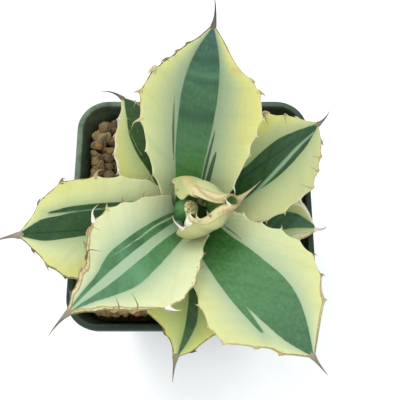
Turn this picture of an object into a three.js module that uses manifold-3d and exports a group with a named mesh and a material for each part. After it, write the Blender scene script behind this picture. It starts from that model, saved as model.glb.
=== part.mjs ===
// A potted agave: a small variegated rosette in a square plastic nursery pot filled with gravel.
// Millimetres, +Z up. The origin is the middle of the pot's base, on the surface that it stands on.
// The front, from which the plant is looked down on, is -Y.

import * as THREE from "three";
import { mergeVertices } from "three/addons/utils/BufferGeometryUtils.js";
import Module from "manifold-3d";

const wasm = await Module();
wasm.setup();

// ---------------------------------------------------------------- driving dimensions

const GAP = 0.3; // left between pieces that touch
const TOLERANCE = 0.05; // added to the gap where a faceted piece is cut by its neighbour
const GRAIN = 0.005; // points are rounded to this

const POT = {
  height: 80,
  rimHalf: 45, // half of the outer width across the lip
  rimCorner: 12,
  lipWidth: 2.4,
  lipDepth: 6,
  lipStep: 1.5, // how far the lip stands out from the wall
  footHalf: 31.5,
  footCorner: 9,
  wall: 1.4,
  floor: 2,
  cornerSegments: 4,
};
const DRAIN = { slots: 8, radius: 20, length: 12, width: 4 };

const SOIL_LEVEL = 66.5; // the packed filling, below the gravel
const PEBBLES = { spacing: 8, size: 3.6, spread: 0.5, centre: 66.6, seed: 11 };

const STEM_AXIS = new THREE.Vector2(0.5, -4.2);
const STEM = [
  // height, radius
  [44, 4.5],
  [52, 6.2],
  [66, 6.6],
  [80, 6.2],
  [88.5, 3.9],
];
const STEM_SIDES = 12;
const ROOTS = { count: 6, start: 52, length: 30, fall: 34, radius: 1.5, seed: 5 };

const BLADE_EDGE = 0.9; // thickness at a leaf's edge
const BLADE_COLUMNS = 6;
const ROW_SPACING = { least: 0.035, most: 0.09 }; // shares of the length
const ROOT_SHARE = 0.05; // where a blade's first row lies, inside the stem
const KNOB = { height: 0.8, spread: 1.7 }; // the low swelling of the edge under each tooth
const TOOTH = { reach: 2.3, radius: 0.75, sunk: 1.1, lean: -18, rise: 30, spread: 24 };

// Shares of a blade's length at which its half-widths are given, from the root to the tip.
const STATIONS = [0, 0.15, 0.3, 0.45, 0.6, 0.72, 0.84, 0.93, 1];

// Each leaf leaves the stem at the height `attach`, over the compass angle `heading`, which turns by
// `turn` degrees on its way. `lift` is its slope in degrees and `gutter` the rise of its surface
// 10 mm beside the midline, both given from the root to the tip. `left` and `right` are half-widths,
// seen from the root. Teeth stand at shares of the length. A claw is a long tooth:
// [side, share, reach, lean towards the tip, rise above the blade].
const LEFT = 1;
const RIGHT = -1;
const LEAVES = [
  {
    name: "leaf_outer_right",
    attach: 71.5, heading: 353.2, turn: 2, length: 44.4, thick: 3.0,
    lift: [24, 17, 7],
    gutter: [3, 1, 1.2],
    left: [9, 11.5, 13.5, 14.5, 14.8, 13.6, 10.6, 7.8, 1.4],
    right: [9, 11.5, 13, 13.5, 12, 9, 5, 3.4, 1.2],
    teethLeft: [0.3, 0.46, 0.6, 0.73],
    teethRight: [0.3, 0.45, 0.6, 0.76],
    claws: [[LEFT, 0.87, 3.2, 20, 60]],
    spine: { length: 8, side: 10, up: 150 },
  },
  {
    name: "leaf_outer_back_left",
    attach: 73, heading: 125.5, turn: -14, length: 53, thick: 3.0,
    lift: [30, 20, 12],
    gutter: [3.5, 2, 2.5],
    left: [9, 11.5, 13.5, 14.6, 13.4, 10.2, 5.6, 2.4, 1],
    right: [9, 11.5, 14, 15, 14, 11, 7.4, 4.2, 1],
    teethLeft: [0.28, 0.42, 0.55, 0.67, 0.8],
    teethRight: [0.3, 0.44, 0.58, 0.7, 0.93],
    claws: [[LEFT, 0.87, 3.4, -20, 110], [RIGHT, 0.8, 4.5, -15, 100]],
    spine: { length: 8, side: 60, up: 0 },
  },
  {
    name: "leaf_outer_front",
    attach: 74.5, heading: 264.5, turn: -3, length: 50.5, thick: 3.0,
    lift: [24, 16, 4],
    gutter: [3, 1, 1],
    left: [9, 11.5, 13.5, 15, 15.6, 14.6, 11, 6.2, 1.2],
    right: [9, 11.5, 13.5, 14.5, 14.4, 12, 4.8, 2, 1],
    teethLeft: [0.3, 0.44, 0.58, 0.7, 0.95],
    teethRight: [0.3, 0.45, 0.6, 0.73, 0.86],
    claws: [[LEFT, 0.82, 3, 10, 20]],
    spine: { length: 8.5, side: 6, up: -5 },
  },
  {
    name: "leaf_middle_back_right",
    attach: 76, heading: 35.5, turn: -3, length: 57, thick: 3.3,
    lift: [33, 22, 10],
    gutter: [3.5, 1, 1],
    left: [10, 12.5, 15, 16.5, 17, 15.2, 10.6, 5, 1.2],
    right: [10, 13, 16.4, 19, 19, 18.4, 13, 7.5, 1.2],
    teethLeft: [0.25, 0.38, 0.5, 0.63, 0.92],
    teethRight: [0.25, 0.38, 0.5, 0.61, 0.95],
    claws: [
      [LEFT, 0.76, 4.4, -10, 120],
      [LEFT, 0.86, 3, -15, 120],
      [RIGHT, 0.71, 5.4, -25, 130],
      [RIGHT, 0.81, 2.8, -10, 125],
      [RIGHT, 0.89, 4, -35, 120],
    ],
    spine: { length: 7, side: 35, up: 5 },
  },
  {
    name: "leaf_middle_left",
    attach: 77.5, heading: 190, turn: -2, length: 61.5, thick: 3.3,
    lift: [29, 15, 6],
    gutter: [3.5, 1, 1],
    left: [10, 13, 16, 18, 18.8, 18.4, 13, 5.4, 1.2],
    right: [10, 13, 16.4, 17.6, 18, 17.4, 13.2, 6, 1.2],
    teethLeft: [0.22, 0.34, 0.46, 0.57, 0.67, 0.77, 0.93],
    teethRight: [0.25, 0.4, 0.66, 0.88],
    claws: [[RIGHT, 0.56, 4, -40, 20], [RIGHT, 0.77, 4.2, -50, 40], [LEFT, 0.86, 2.8, -10, 20]],
    spine: { length: 9.5, side: 25, up: 5 },
  },
  {
    name: "leaf_upper_front_right",
    attach: 79.5, heading: 307.5, turn: -4, length: 67, thick: 3.6,
    lift: [37, 21, 7],
    gutter: [4, 1, 0.8],
    left: [10, 12.6, 14.6, 19, 21, 18.6, 12.8, 6.2, 1.2],
    right: [10, 12.5, 15.5, 18.4, 20.8, 20, 10.6, 6, 1.2],
    teethLeft: [0.22, 0.33, 0.43, 0.53, 0.82, 0.9],
    teethRight: [0.25, 0.37, 0.49, 0.61, 0.72, 0.83, 0.92],
    claws: [[LEFT, 0.63, 3.2, 30, 70], [LEFT, 0.73, 3.2, 30, 80]],
    spine: { length: 7.5, side: 5, up: 0 },
  },
  {
    name: "leaf_upper_back",
    attach: 81, heading: 86, turn: -8, length: 67.5, thick: 3.6,
    lift: [42, 35, 26],
    gutter: [4.5, 1, 0.8],
    left: [10.5, 13.5, 17, 19.4, 21.4, 19, 11, 5, 1.2],
    right: [10.5, 13.5, 17.4, 19.5, 21.4, 18.6, 10, 5.4, 1.2],
    teethLeft: [0.24, 0.36, 0.48, 0.82, 0.9],
    teethRight: [0.38, 0.48, 0.57, 0.88],
    claws: [
      [LEFT, 0.76, 5.2, -45, 10],
      [LEFT, 0.64, 3.4, -20, 10],
      [RIGHT, 0.69, 4.2, 0, 10],
      [RIGHT, 0.76, 3.6, 5, 15],
      [RIGHT, 0.25, 4, -70, 30],
    ],
    spine: { length: 11, side: 14, up: 0 },
  },
  {
    name: "leaf_upper_front_left",
    attach: 82.5, heading: 224.5, turn: 4, length: 60, thick: 3.6,
    lift: [42, 28, 15],
    gutter: [4.5, 0.9, 0.8],
    left: [10, 13, 17.8, 21.6, 20.8, 15.6, 8, 3.8, 1.2],
    right: [11, 14, 16, 18.3, 16.5, 9, 6, 3, 1],
    teethLeft: [0.24, 0.33, 0.53, 0.9],
    teethRight: [0.24, 0.36, 0.68, 0.92],
    claws: [
      [RIGHT, 0.51, 4.4, -50, 40],
      [RIGHT, 0.57, 6.2, -45, 35],
      [RIGHT, 0.63, 5, -45, 120],
      [RIGHT, 0.73, 6.2, -65, 110],
      [RIGHT, 0.83, 5.6, -35, 130],
      [LEFT, 0.42, 3.4, -20, 95],
      [LEFT, 0.61, 4.4, -10, 10],
      [LEFT, 0.76, 5.6, -35, 120],
      [LEFT, 0.83, 4.2, -40, 115],
    ],
    spine: { length: 9.5, side: 16, up: 0 },
  },
];

// The youngest open leaf stands up and curls round the heart, its edges leaning in over it.
const CUP_LEAF = {
  name: "leaf_inner_cup",
  attach: 86.5, heading: 356, turn: 30, length: 18.5, thick: 2.0, start: 4.5,
  lift: [62, 52, 40],
  gutter: [5.3, 5, 6, 10, 36],
  left: [9, 18.5, 22.3, 21.6, 17.6, 13.2, 7.4, 3.6, 1],
  right: [9, 18.5, 22.3, 21.6, 17.6, 13.2, 7.4, 3.6, 1],
  teethLeft: [0.4, 0.72],
  teethRight: [0.32, 0.68, 0.8],
  claws: [
    [LEFT, 0.24, 3.6, -10, 30],
    [LEFT, 0.52, 4.2, 0, 30],
    [RIGHT, 0.22, 4.5, 0, 10],
    [RIGHT, 0.44, 4, 0, 30],
  ],
  spine: { length: 10, side: 20, up: -30 },
};

const BUD = {
  centre: new THREE.Vector2(-0.9, -4.6),
  // height, radius
  rings: [[89, 3.6], [91, 4.4], [94, 4.3], [96.2, 3.2], [98.2, 1.5], [99.4, 0.5]],
  overlap: 0.8, // step where the outer leaf's edge lies over the next
  twist: 50, // degrees from foot to tip
  sides: 16,
};

// ---------------------------------------------------------------- materials

const material = (colour, roughness) =>
  new THREE.MeshStandardMaterial({ color: colour, roughness, metalness: 0 });
const MATERIALS = {
  plastic: material(0x2b4634, 0.45),
  gravel: material(0x6f6045, 0.95),
  stem: material(0x9a8f6a, 0.8),
  leaf: material(0x5d8a5e, 0.5),
  heart: material(0x86a06a, 0.5),
};

// ---------------------------------------------------------------- small tools

/** A repeatable number from 0 to 1 for each whole number and seed. */
function draw(index, seed) {
  const wave = Math.sin(index * 12.9898 + seed * 78.233) * 43758.5453;
  return wave - Math.floor(wave);
}

/** A smooth curve through the values ys at the places xs. */
function smooth(xs, ys, x) {
  const last = xs.length - 1;
  if (x <= xs[0]) return ys[0];
  if (x >= xs[last]) return ys[last];
  const i = xs.findIndex((place) => place >= x) - 1;
  const slope = (k) => {
    const a = Math.max(k - 1, 0);
    const b = Math.min(k + 1, last);
    return (ys[b] - ys[a]) / (xs[b] - xs[a]);
  };
  const step = xs[i + 1] - xs[i];
  const u = (x - xs[i]) / step;
  return (
    (2 * u ** 3 - 3 * u ** 2 + 1) * ys[i] + (u ** 3 - 2 * u ** 2 + u) * step * slope(i) +
    (3 * u ** 2 - 2 * u ** 3) * ys[i + 1] + (u ** 3 - u ** 2) * step * slope(i + 1)
  );
}

/** A smooth curve through values that are evenly spaced from the root (0) to the tip (1). */
function along(values, share) {
  return smooth(values.map((_, i) => i / (values.length - 1)), values, share);
}

/** A solid from points and triangles. */
function solidFromPoints(points, triangles) {
  const mesh = new wasm.Mesh({
    numProp: 3,
    vertProperties: new Float32Array(points.flatMap((p) => [p.x, p.y, p.z])),
    triVerts: new Uint32Array(triangles.flat()),
  });
  mesh.merge();
  return new wasm.Manifold(mesh);
}

/** A solid from one of three.js's own closed geometries. */
function solidFromGeometry(geometry) {
  const bare = geometry.clone();
  bare.deleteAttribute("normal");
  bare.deleteAttribute("uv");
  const merged = mergeVertices(bare, 1e-4);
  return new wasm.Manifold(new wasm.Mesh({
    numProp: 3,
    vertProperties: new Float32Array(merged.attributes.position.array),
    triVerts: new Uint32Array(merged.index.array),
  }));
}

/** The largest body of a solid, without the scraps that a cut leaves. */
function largestBody(solid) {
  const bodies = solid.decompose();
  return bodies.reduce((best, body) => (body.volume() > best.volume() ? body : best));
}

/** A triangle list without those that have no area and those that lie back to back. */
function withoutFlatScraps(corners) {
  const triangles = [];
  for (let i = 0; i < corners.length; i += 3) {
    triangles.push(corners.slice(i, i + 3));
  }
  const places = new Map();
  for (const triangle of triangles) {
    const place = [...triangle].sort((a, b) => a - b).join();
    places.set(place, [...(places.get(place) ?? []), triangle]);
  }
  return [...places.values()]
    .filter((alike) => alike.length === 1 && new Set(alike[0]).size === 3)
    .flat(2);
}

/** A named mesh from a solid, its points rounded so that slivers left by a cut fall together. */
function meshOf(name, solid, surface) {
  const { vertProperties, triVerts } = largestBody(solid).getMesh();
  const rounded = Float32Array.from(vertProperties, (value) => Math.round(value / GRAIN) * GRAIN);
  const geometry = new THREE.BufferGeometry();
  geometry.setAttribute("position", new THREE.BufferAttribute(rounded, 3));
  geometry.setIndex(new THREE.BufferAttribute(new Uint32Array(triVerts), 1));
  const merged = mergeVertices(geometry, GRAIN / 4);
  merged.setIndex(withoutFlatScraps(Array.from(merged.index.array)));
  merged.computeVertexNormals();
  const mesh = new THREE.Mesh(merged, surface);
  mesh.name = name;
  return mesh;
}

/** A closed solid through rings of equal length, listed from the bottom, each counter-clockwise. */
function loft(rings) {
  const count = rings[0].length;
  const points = rings.flat();
  const triangles = [];
  for (let r = 0; r + 1 < rings.length; r += 1) {
    for (let k = 0; k < count; k += 1) {
      const a = r * count + k;
      const b = r * count + ((k + 1) % count);
      triangles.push([a, b, b + count], [a, b + count, a + count]);
    }
  }
  const last = (rings.length - 1) * count;
  for (let k = 1; k + 1 < count; k += 1) {
    triangles.push([0, k + 1, k], [last, last + k, last + k + 1]);
  }
  return solidFromPoints(points, triangles);
}

/** A tapering round spike along a path, with a radius at each point of it. */
function spike(path, radii, sides) {
  const last = path.length - 1;
  const first = path[1].clone().sub(path[0]).normalize();
  const side = Math.abs(first.z) > 0.9 ? new THREE.Vector3(1, 0, 0) : new THREE.Vector3(0, 0, 1);
  const rings = path.map((centre, i) => {
    const forward = path[Math.min(i + 1, last)].clone().sub(path[Math.max(i - 1, 0)]).normalize();
    side.addScaledVector(forward, -side.dot(forward)).normalize();
    const other = forward.clone().cross(side);
    return Array.from({ length: sides }, (_, k) => {
      const angle = (2 * Math.PI * k) / sides;
      return centre.clone()
        .addScaledVector(side, radii[i] * Math.cos(angle))
        .addScaledVector(other, radii[i] * Math.sin(angle));
    });
  });
  return loft(rings);
}

// ---------------------------------------------------------------- pot

/** A level square outline with round corners. */
function roundedSquare(half, corner, height) {
  const ring = [];
  for (let quarter = 0; quarter < 4; quarter += 1) {
    for (let k = 0; k <= POT.cornerSegments; k += 1) {
      const angle = (Math.PI / 2) * (quarter + k / POT.cornerSegments);
      const sideX = quarter === 0 || quarter === 3 ? 1 : -1;
      const sideY = quarter < 2 ? 1 : -1;
      ring.push(new THREE.Vector3(
        sideX * (half - corner) + corner * Math.cos(angle),
        sideY * (half - corner) + corner * Math.sin(angle),
        height,
      ));
    }
  }
  return ring;
}

/** Half of the wall's outer width at a height, from the foot to the lip. */
function wallHalf(height) {
  return THREE.MathUtils.mapLinear(height, 0, POT.height, POT.footHalf, POT.rimHalf - POT.lipStep);
}

function wallCorner(height) {
  return THREE.MathUtils.mapLinear(height, 0, POT.height, POT.footCorner, POT.rimCorner - POT.lipStep);
}

/** The room inside the pot up to a height, kept clear of the wall by a margin. */
function potRoom(margin, top) {
  const inset = POT.wall + margin;
  const bottom = POT.floor + margin;
  const ring = (height) => roundedSquare(wallHalf(height) - inset, wallCorner(height) - inset, height);
  return loft([ring(bottom), ring(top)]);
}

function makePot() {
  const lipBottom = POT.height - POT.lipDepth;
  const innerHalf = POT.rimHalf - POT.lipWidth;
  const innerCorner = POT.rimCorner - POT.lipWidth;
  const shell = loft([
    roundedSquare(POT.footHalf, POT.footCorner, 0),
    roundedSquare(wallHalf(lipBottom), wallCorner(lipBottom), lipBottom),
    roundedSquare(POT.rimHalf - 0.4, POT.rimCorner, lipBottom + 0.4),
    roundedSquare(POT.rimHalf, POT.rimCorner, POT.height),
  ]);
  const mouth = loft([
    roundedSquare(wallHalf(lipBottom) - POT.wall, wallCorner(lipBottom) - POT.wall, lipBottom - 1),
    roundedSquare(innerHalf, innerCorner, POT.height - 3),
    roundedSquare(innerHalf, innerCorner, POT.height + 1),
  ]);
  return shell.subtract(potRoom(0, lipBottom)).subtract(mouth).subtract(drainSlots());
}

/** Round-ended slots through the floor, set in a ring round its flat middle. */
function drainSlots() {
  let slots = null;
  for (let k = 0; k < DRAIN.slots; k += 1) {
    const angle = (2 * Math.PI * k) / DRAIN.slots;
    const half = DRAIN.length / 2 - DRAIN.width / 2;
    const outline = new THREE.Shape();
    outline.absarc(half, 0, DRAIN.width / 2, -Math.PI / 2, Math.PI / 2);
    outline.absarc(-half, 0, DRAIN.width / 2, Math.PI / 2, (3 * Math.PI) / 2);
    const slot = new THREE.ExtrudeGeometry(outline, {
      depth: POT.floor + 2,
      bevelEnabled: false,
      curveSegments: 4,
    });
    slot.translate(DRAIN.radius, 0, -1);
    slot.rotateZ(angle);
    const cut = solidFromGeometry(slot);
    slots = slots ? slots.add(cut) : cut;
  }
  return slots;
}

// ---------------------------------------------------------------- gravel

/** Loose stones over the whole surface, on a shaken grid, each sunk in the filling. */
function makePebbles() {
  const reach = wallHalf(SOIL_LEVEL) - POT.wall;
  const perSide = Math.ceil((2 * reach) / PEBBLES.spacing);
  const stones = [];
  for (let row = 0; row < perSide; row += 1) {
    for (let column = 0; column < perSide; column += 1) {
      const index = row * perSide + column;
      const shake = (n) => (draw(index * 7 + n, PEBBLES.seed) - 0.5) * 2 * PEBBLES.spread;
      const stagger = (row % 2) * 0.5;
      const stone = new THREE.IcosahedronGeometry(PEBBLES.size, 0);
      stone.rotateX(shake(0) * 5);
      stone.rotateZ(shake(1) * 5);
      stone.scale(1 + 0.4 * shake(2), 1 + 0.4 * shake(3), 0.85 + 0.3 * shake(4));
      const x = (column + 0.25 + stagger) * PEBBLES.spacing - reach + shake(5) * 2;
      const y = (row + 0.5) * PEBBLES.spacing - reach + shake(6) * 2;
      stone.translate(x, y, PEBBLES.centre + shake(4) * 1.4);
      stones.push(solidFromGeometry(stone));
    }
  }
  return wasm.Manifold.union(stones);
}

function makeSoil(keepClear) {
  const filling = potRoom(GAP, SOIL_LEVEL);
  const room = potRoom(GAP, POT.height - POT.lipDepth);
  let soil = filling.add(makePebbles()).intersect(room);
  for (const piece of keepClear) {
    soil = soil.subtract(piece);
  }
  return soil;
}

// ---------------------------------------------------------------- stem and roots

/** The short stem with its thick roots, swollen by a margin on every side. */
function makeStem(margin = 0) {
  const path = STEM.map(([height], i) => {
    const past = i === 0 ? -margin : i === STEM.length - 1 ? margin : 0;
    return new THREE.Vector3(STEM_AXIS.x, STEM_AXIS.y, height + past);
  });
  let plant = spike(path, STEM.map(([, radius]) => radius + margin), STEM_SIDES);
  for (let k = 0; k < ROOTS.count; k += 1) {
    plant = plant.add(makeRoot(k, margin));
  }
  return plant;
}

function makeRoot(index, margin) {
  const heading = (2 * Math.PI * (index + 0.3 * draw(index, ROOTS.seed))) / ROOTS.count;
  const fall = THREE.MathUtils.degToRad(ROOTS.fall * (0.7 + 0.6 * draw(index + 20, ROOTS.seed)));
  const length = ROOTS.length * (0.75 + 0.25 * draw(index + 40, ROOTS.seed));
  const path = [0.08, 0.35, 0.7, 1].map((share) => {
    const out = length * share * Math.cos(fall * share);
    return new THREE.Vector3(
      STEM_AXIS.x + out * Math.cos(heading),
      STEM_AXIS.y + out * Math.sin(heading),
      ROOTS.start - length * share * Math.sin(fall * share),
    );
  });
  const shares = [1.3, 1, 0.8, 0.3];
  if (margin > 0) {
    path.push(path[3].clone().addScaledVector(path[3].clone().sub(path[2]).normalize(), margin));
    shares.push(0.3);
  }
  return spike(path, shares.map((share) => share * ROOTS.radius + margin), 6);
}

// ---------------------------------------------------------------- leaves

/** Points and directions down the middle of a leaf's upper face. */
function centreline(leaf) {
  const steps = 100;
  const step = leaf.length / steps;
  const start = leaf.start ?? 2;
  const first = THREE.MathUtils.degToRad(leaf.heading);
  const point = new THREE.Vector3(
    STEM_AXIS.x + start * Math.cos(first),
    STEM_AXIS.y + start * Math.sin(first),
    leaf.attach,
  );
  const line = [];
  for (let i = 0; i <= steps; i += 1) {
    const share = i / steps;
    const heading = THREE.MathUtils.degToRad(leaf.heading + leaf.turn * share * share);
    const slope = THREE.MathUtils.degToRad(along(leaf.lift, share));
    const forward = new THREE.Vector3(
      Math.cos(heading) * Math.cos(slope),
      Math.sin(heading) * Math.cos(slope),
      Math.sin(slope),
    );
    line.push({ point: point.clone(), forward });
    point.addScaledVector(forward, step);
  }
  return line;
}

/** A leaf's middle point and its forward, leftward and upward directions at a share of its length. */
function frameAt(leaf, share) {
  const place = Math.min(Math.max(share, 0), 1) * (leaf.line.length - 1);
  const i = Math.min(Math.floor(place), leaf.line.length - 2);
  const between = place - i;
  const point = leaf.line[i].point.clone().lerp(leaf.line[i + 1].point, between);
  const forward = leaf.line[i].forward.clone().lerp(leaf.line[i + 1].forward, between).normalize();
  const left = new THREE.Vector3(0, 0, 1).cross(forward).normalize();
  const up = forward.clone().cross(left);
  return { point, forward, left, up };
}

/** The point of a leaf's upper face that lies `offset` mm to the left of its midline. */
function surfaceAt(leaf, share, offset) {
  const { point, left, up } = frameAt(leaf, share);
  const curl = (2 * along(leaf.gutter, share)) / 100;
  return point
    .addScaledVector(left, Math.sin(curl * offset) / curl)
    .addScaledVector(up, (1 - Math.cos(curl * offset)) / curl);
}

/** The face's own leftward and upward directions at such a point. */
function sideAt(leaf, share, offset) {
  const frame = frameAt(leaf, share);
  const turn = (2 * along(leaf.gutter, share) * offset) / 100;
  return {
    forward: frame.forward,
    left: frame.left.clone().multiplyScalar(Math.cos(turn)).addScaledVector(frame.up, Math.sin(turn)),
    up: frame.up.clone().multiplyScalar(Math.cos(turn)).addScaledVector(frame.left, -Math.sin(turn)),
  };
}

/** Shares of the length at which one side of a leaf carries a tooth of any kind. */
function teethOf(leaf, side) {
  const plain = side === LEFT ? leaf.teethLeft : leaf.teethRight;
  return plain.concat(leaf.claws.filter((claw) => claw[0] === side).map((claw) => claw[1]));
}

/** Half-width of one side of a leaf, with the low knobs of the edge that its teeth stand on. */
function halfWidth(leaf, side, share) {
  const knobs = teethOf(leaf, side)
    .map((at) => KNOB.height * Math.exp(-((((share - at) * leaf.length) / KNOB.spread) ** 2)))
    .reduce((sum, rise) => sum + rise, 0);
  return smooth(STATIONS, side === LEFT ? leaf.left : leaf.right, share) + knobs;
}

/** The rows of a blade: one at every tooth, and others in between at an even spacing. */
function rowsOf(leaf) {
  const wanted = [...teethOf(leaf, LEFT), ...teethOf(leaf, RIGHT)].sort((a, b) => a - b);
  const rows = [ROOT_SHARE];
  for (const next of [...wanted, 1]) {
    const last = rows[rows.length - 1];
    if (next < 1 && next - last < ROW_SPACING.least) {
      continue;
    }
    const steps = Math.ceil((next - last) / ROW_SPACING.most);
    for (let i = 1; i <= steps; i += 1) {
      rows.push(last + ((next - last) * i) / steps);
    }
  }
  return rows;
}

/** The blade: an upper and a lower face over the same rows, both split into triangles alike. */
function makeBlade(leaf, margin) {
  const rows = rowsOf(leaf);
  const last = BLADE_COLUMNS;
  const upper = [];
  const lower = [];
  rows.forEach((share, i) => {
    const past = i === 0 ? -margin : i === rows.length - 1 ? margin : 0;
    for (let j = 0; j <= last; j += 1) {
      const across = (2 * j) / last - 1;
      const half = halfWidth(leaf, across < 0 ? RIGHT : LEFT, share) + margin;
      const fullness = 1 - across ** 2;
      const middle = leaf.thick * THREE.MathUtils.lerp(1, 0.4, share);
      const thickness = BLADE_EDGE + Math.max(middle - BLADE_EDGE, 0) * fullness;
      const { forward, up } = sideAt(leaf, share, across * half);
      const top = surfaceAt(leaf, share, across * half).addScaledVector(forward, past);
      upper.push(top.clone().addScaledVector(up, margin));
      lower.push(top.addScaledVector(up, -thickness - margin));
    }
  });
  const width = last + 1;
  const under = upper.length;
  const triangles = [];
  const quad = (a, b, c, d) => triangles.push([a, b, c], [a, c, d]);
  for (let i = 0; i + 1 < rows.length; i += 1) {
    const row = i * width;
    for (let j = 0; j < last; j += 1) {
      const a = row + j;
      triangles.push([a, a + width, a + width + 1], [a, a + width + 1, a + 1]);
      const b = under + a;
      triangles.push([b, b + width + 1, b + width], [b, b + 1, b + width + 1]);
    }
    quad(row, under + row, under + row + width, row + width);
    quad(row + last, row + last + width, under + row + last + width, under + row + last);
  }
  const end = (rows.length - 1) * width;
  for (let j = 0; j < last; j += 1) {
    quad(j, j + 1, under + j + 1, under + j);
    quad(end + j, under + end + j, under + end + j + 1, end + j + 1);
  }
  return solidFromPoints([...upper, ...lower], triangles);
}

/** One hooked tooth of a leaf's edge, its root sunk in the blade. */
function makeTooth(leaf, side, share, reach, lean, rise) {
  const half = halfWidth(leaf, side, share);
  const { forward, left, up } = sideAt(leaf, share, side * half);
  const out = left.clone().multiplyScalar(side);
  const aim = (leaning, rising) => {
    const l = THREE.MathUtils.degToRad(leaning);
    const r = THREE.MathUtils.degToRad(rising);
    return out.clone().multiplyScalar(Math.cos(l) * Math.cos(r))
      .addScaledVector(forward, Math.sin(l))
      .addScaledVector(up, Math.cos(l) * Math.sin(r))
      .normalize();
  };
  const root = surfaceAt(leaf, share, side * half)
    .addScaledVector(up, -BLADE_EDGE / 2)
    .addScaledVector(out, -TOOTH.sunk);
  const edge = root.clone().addScaledVector(out, TOOTH.sunk);
  const bend = edge.clone().addScaledVector(aim(lean * 0.5, rise * 0.6), reach * 0.5);
  const tip = bend.clone().addScaledVector(aim(lean * 1.4, rise * 1.2), reach * 0.55);
  const size = TOOTH.radius * Math.min(1.2, Math.max(0.8, reach / 4));
  return spike([root, bend, tip], [size, size * 0.7, 0.12], 3);
}

/** The long spine that ends a leaf. */
function makeSpine(leaf) {
  const { length, side, up: climb } = leaf.spine;
  const { point, forward, left, up } = frameAt(leaf, 1);
  const path = [point.clone().addScaledVector(forward, -2.5).addScaledVector(up, -0.7)];
  const radii = [0.8];
  const steps = 5;
  const here = point.clone().addScaledVector(up, -0.6);
  for (let k = 0; k <= steps; k += 1) {
    const share = k / steps;
    path.push(here.clone());
    radii.push(THREE.MathUtils.lerp(0.95, 0.15, share ** 0.8));
    const sideways = THREE.MathUtils.degToRad(side * share);
    const upward = THREE.MathUtils.degToRad(climb * share);
    here.addScaledVector(forward, (length / steps) * Math.cos(sideways) * Math.cos(upward))
      .addScaledVector(left, (length / steps) * Math.sin(sideways) * Math.cos(upward))
      .addScaledVector(up, (length / steps) * Math.sin(upward));
  }
  return spike(path, radii, 5);
}

/** A whole leaf: blade, edge teeth and end spine, grown as one piece. */
function growLeaf(leaf, seed) {
  const parts = [makeBlade(leaf, 0), makeSpine(leaf)];
  for (const side of [LEFT, RIGHT]) {
    const plain = side === LEFT ? leaf.teethLeft : leaf.teethRight;
    plain.forEach((share, k) => {
      const vary = (n) => 2 * draw(k * 3 + n + side * 50, seed) - 1;
      const reach = TOOTH.reach * (1 + 0.3 * vary(0));
      const lean = TOOTH.lean + TOOTH.spread * vary(1);
      const rise = TOOTH.rise + TOOTH.spread * vary(2);
      parts.push(makeTooth(leaf, side, share, reach, lean, rise));
    });
  }
  for (const [side, share, reach, lean, rise] of leaf.claws) {
    parts.push(makeTooth(leaf, side, share, reach, lean, rise));
  }
  return wasm.Manifold.union(parts);
}

// ---------------------------------------------------------------- heart

/** The closed cone of unopened leaves: a rolled column whose outer edge winds round it. */
function makeBud(margin = 0) {
  const [foot] = BUD.rings[0];
  const [top] = BUD.rings[BUD.rings.length - 1];
  const rings = BUD.rings.map(([height, radius], i) => {
    const past = i === 0 ? -margin : i === BUD.rings.length - 1 ? margin : 0;
    const turn = THREE.MathUtils.degToRad(BUD.twist) * ((height - foot) / (top - foot));
    const step = BUD.overlap * Math.min(1, radius / 3);
    return Array.from({ length: BUD.sides }, (_, k) => {
      const around = k / BUD.sides;
      const reach = radius + margin - step * around;
      const angle = 2 * Math.PI * around + turn;
      return new THREE.Vector3(
        BUD.centre.x + reach * Math.cos(angle),
        BUD.centre.y + reach * Math.sin(angle),
        height + past,
      );
    });
  });
  return loft(rings);
}

// ---------------------------------------------------------------- assembly

const agave = new THREE.Group();
const clearance = GAP + TOLERANCE;
const bigStem = makeStem(clearance);
const leaves = [...LEAVES, CUP_LEAF].map((leaf) => ({ ...leaf, line: centreline(leaf) }));

agave.add(meshOf("pot", makePot(), MATERIALS.plastic));
agave.add(meshOf(
  "soil",
  makeSoil([bigStem, ...leaves.slice(0, 3).map((leaf) => makeBlade(leaf, clearance))]),
  MATERIALS.gravel,
));
agave.add(meshOf("stem", makeStem(), MATERIALS.stem));

// A newer leaf lies over the older ones, which are pressed in where it touches them.
leaves.forEach((leaf, i) => {
  let body = growLeaf(leaf, i + 1).subtract(bigStem).subtract(makeBud(clearance));
  for (const newer of leaves.slice(i + 1)) {
    body = body.subtract(makeBlade(newer, clearance));
  }
  agave.add(meshOf(leaf.name, body, MATERIALS.leaf));
});
agave.add(meshOf("heart_bud", makeBud(), MATERIALS.heart));

export default agave;
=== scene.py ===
"""A potted agave: a small variegated rosette in a square nursery pot filled with gravel.

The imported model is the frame, and this script makes the fine surface on it. Blender's unit is the metre.
The plant's and the pot's own measures are in millimetres, as in the part's source, and MM turns them
into metres. -Y is the side from which the photograph looks down on the plant.
"""

import math

import bmesh
import bpy
import numpy as np
from mathutils import Matrix, Vector


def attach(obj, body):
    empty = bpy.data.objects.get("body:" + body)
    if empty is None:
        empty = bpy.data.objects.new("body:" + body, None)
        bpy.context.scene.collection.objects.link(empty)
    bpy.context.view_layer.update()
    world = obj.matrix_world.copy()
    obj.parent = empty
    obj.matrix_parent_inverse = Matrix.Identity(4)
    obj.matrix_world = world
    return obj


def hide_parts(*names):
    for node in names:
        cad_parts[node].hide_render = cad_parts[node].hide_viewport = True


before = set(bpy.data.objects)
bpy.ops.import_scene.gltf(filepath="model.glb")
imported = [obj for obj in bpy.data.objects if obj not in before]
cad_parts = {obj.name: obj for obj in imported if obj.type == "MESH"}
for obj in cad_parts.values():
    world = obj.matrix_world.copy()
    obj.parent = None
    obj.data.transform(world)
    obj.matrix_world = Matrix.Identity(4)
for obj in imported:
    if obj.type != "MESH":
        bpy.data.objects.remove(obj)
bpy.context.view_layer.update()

MM = 0.001

# ---------------------------------------------------------------- camera

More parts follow.
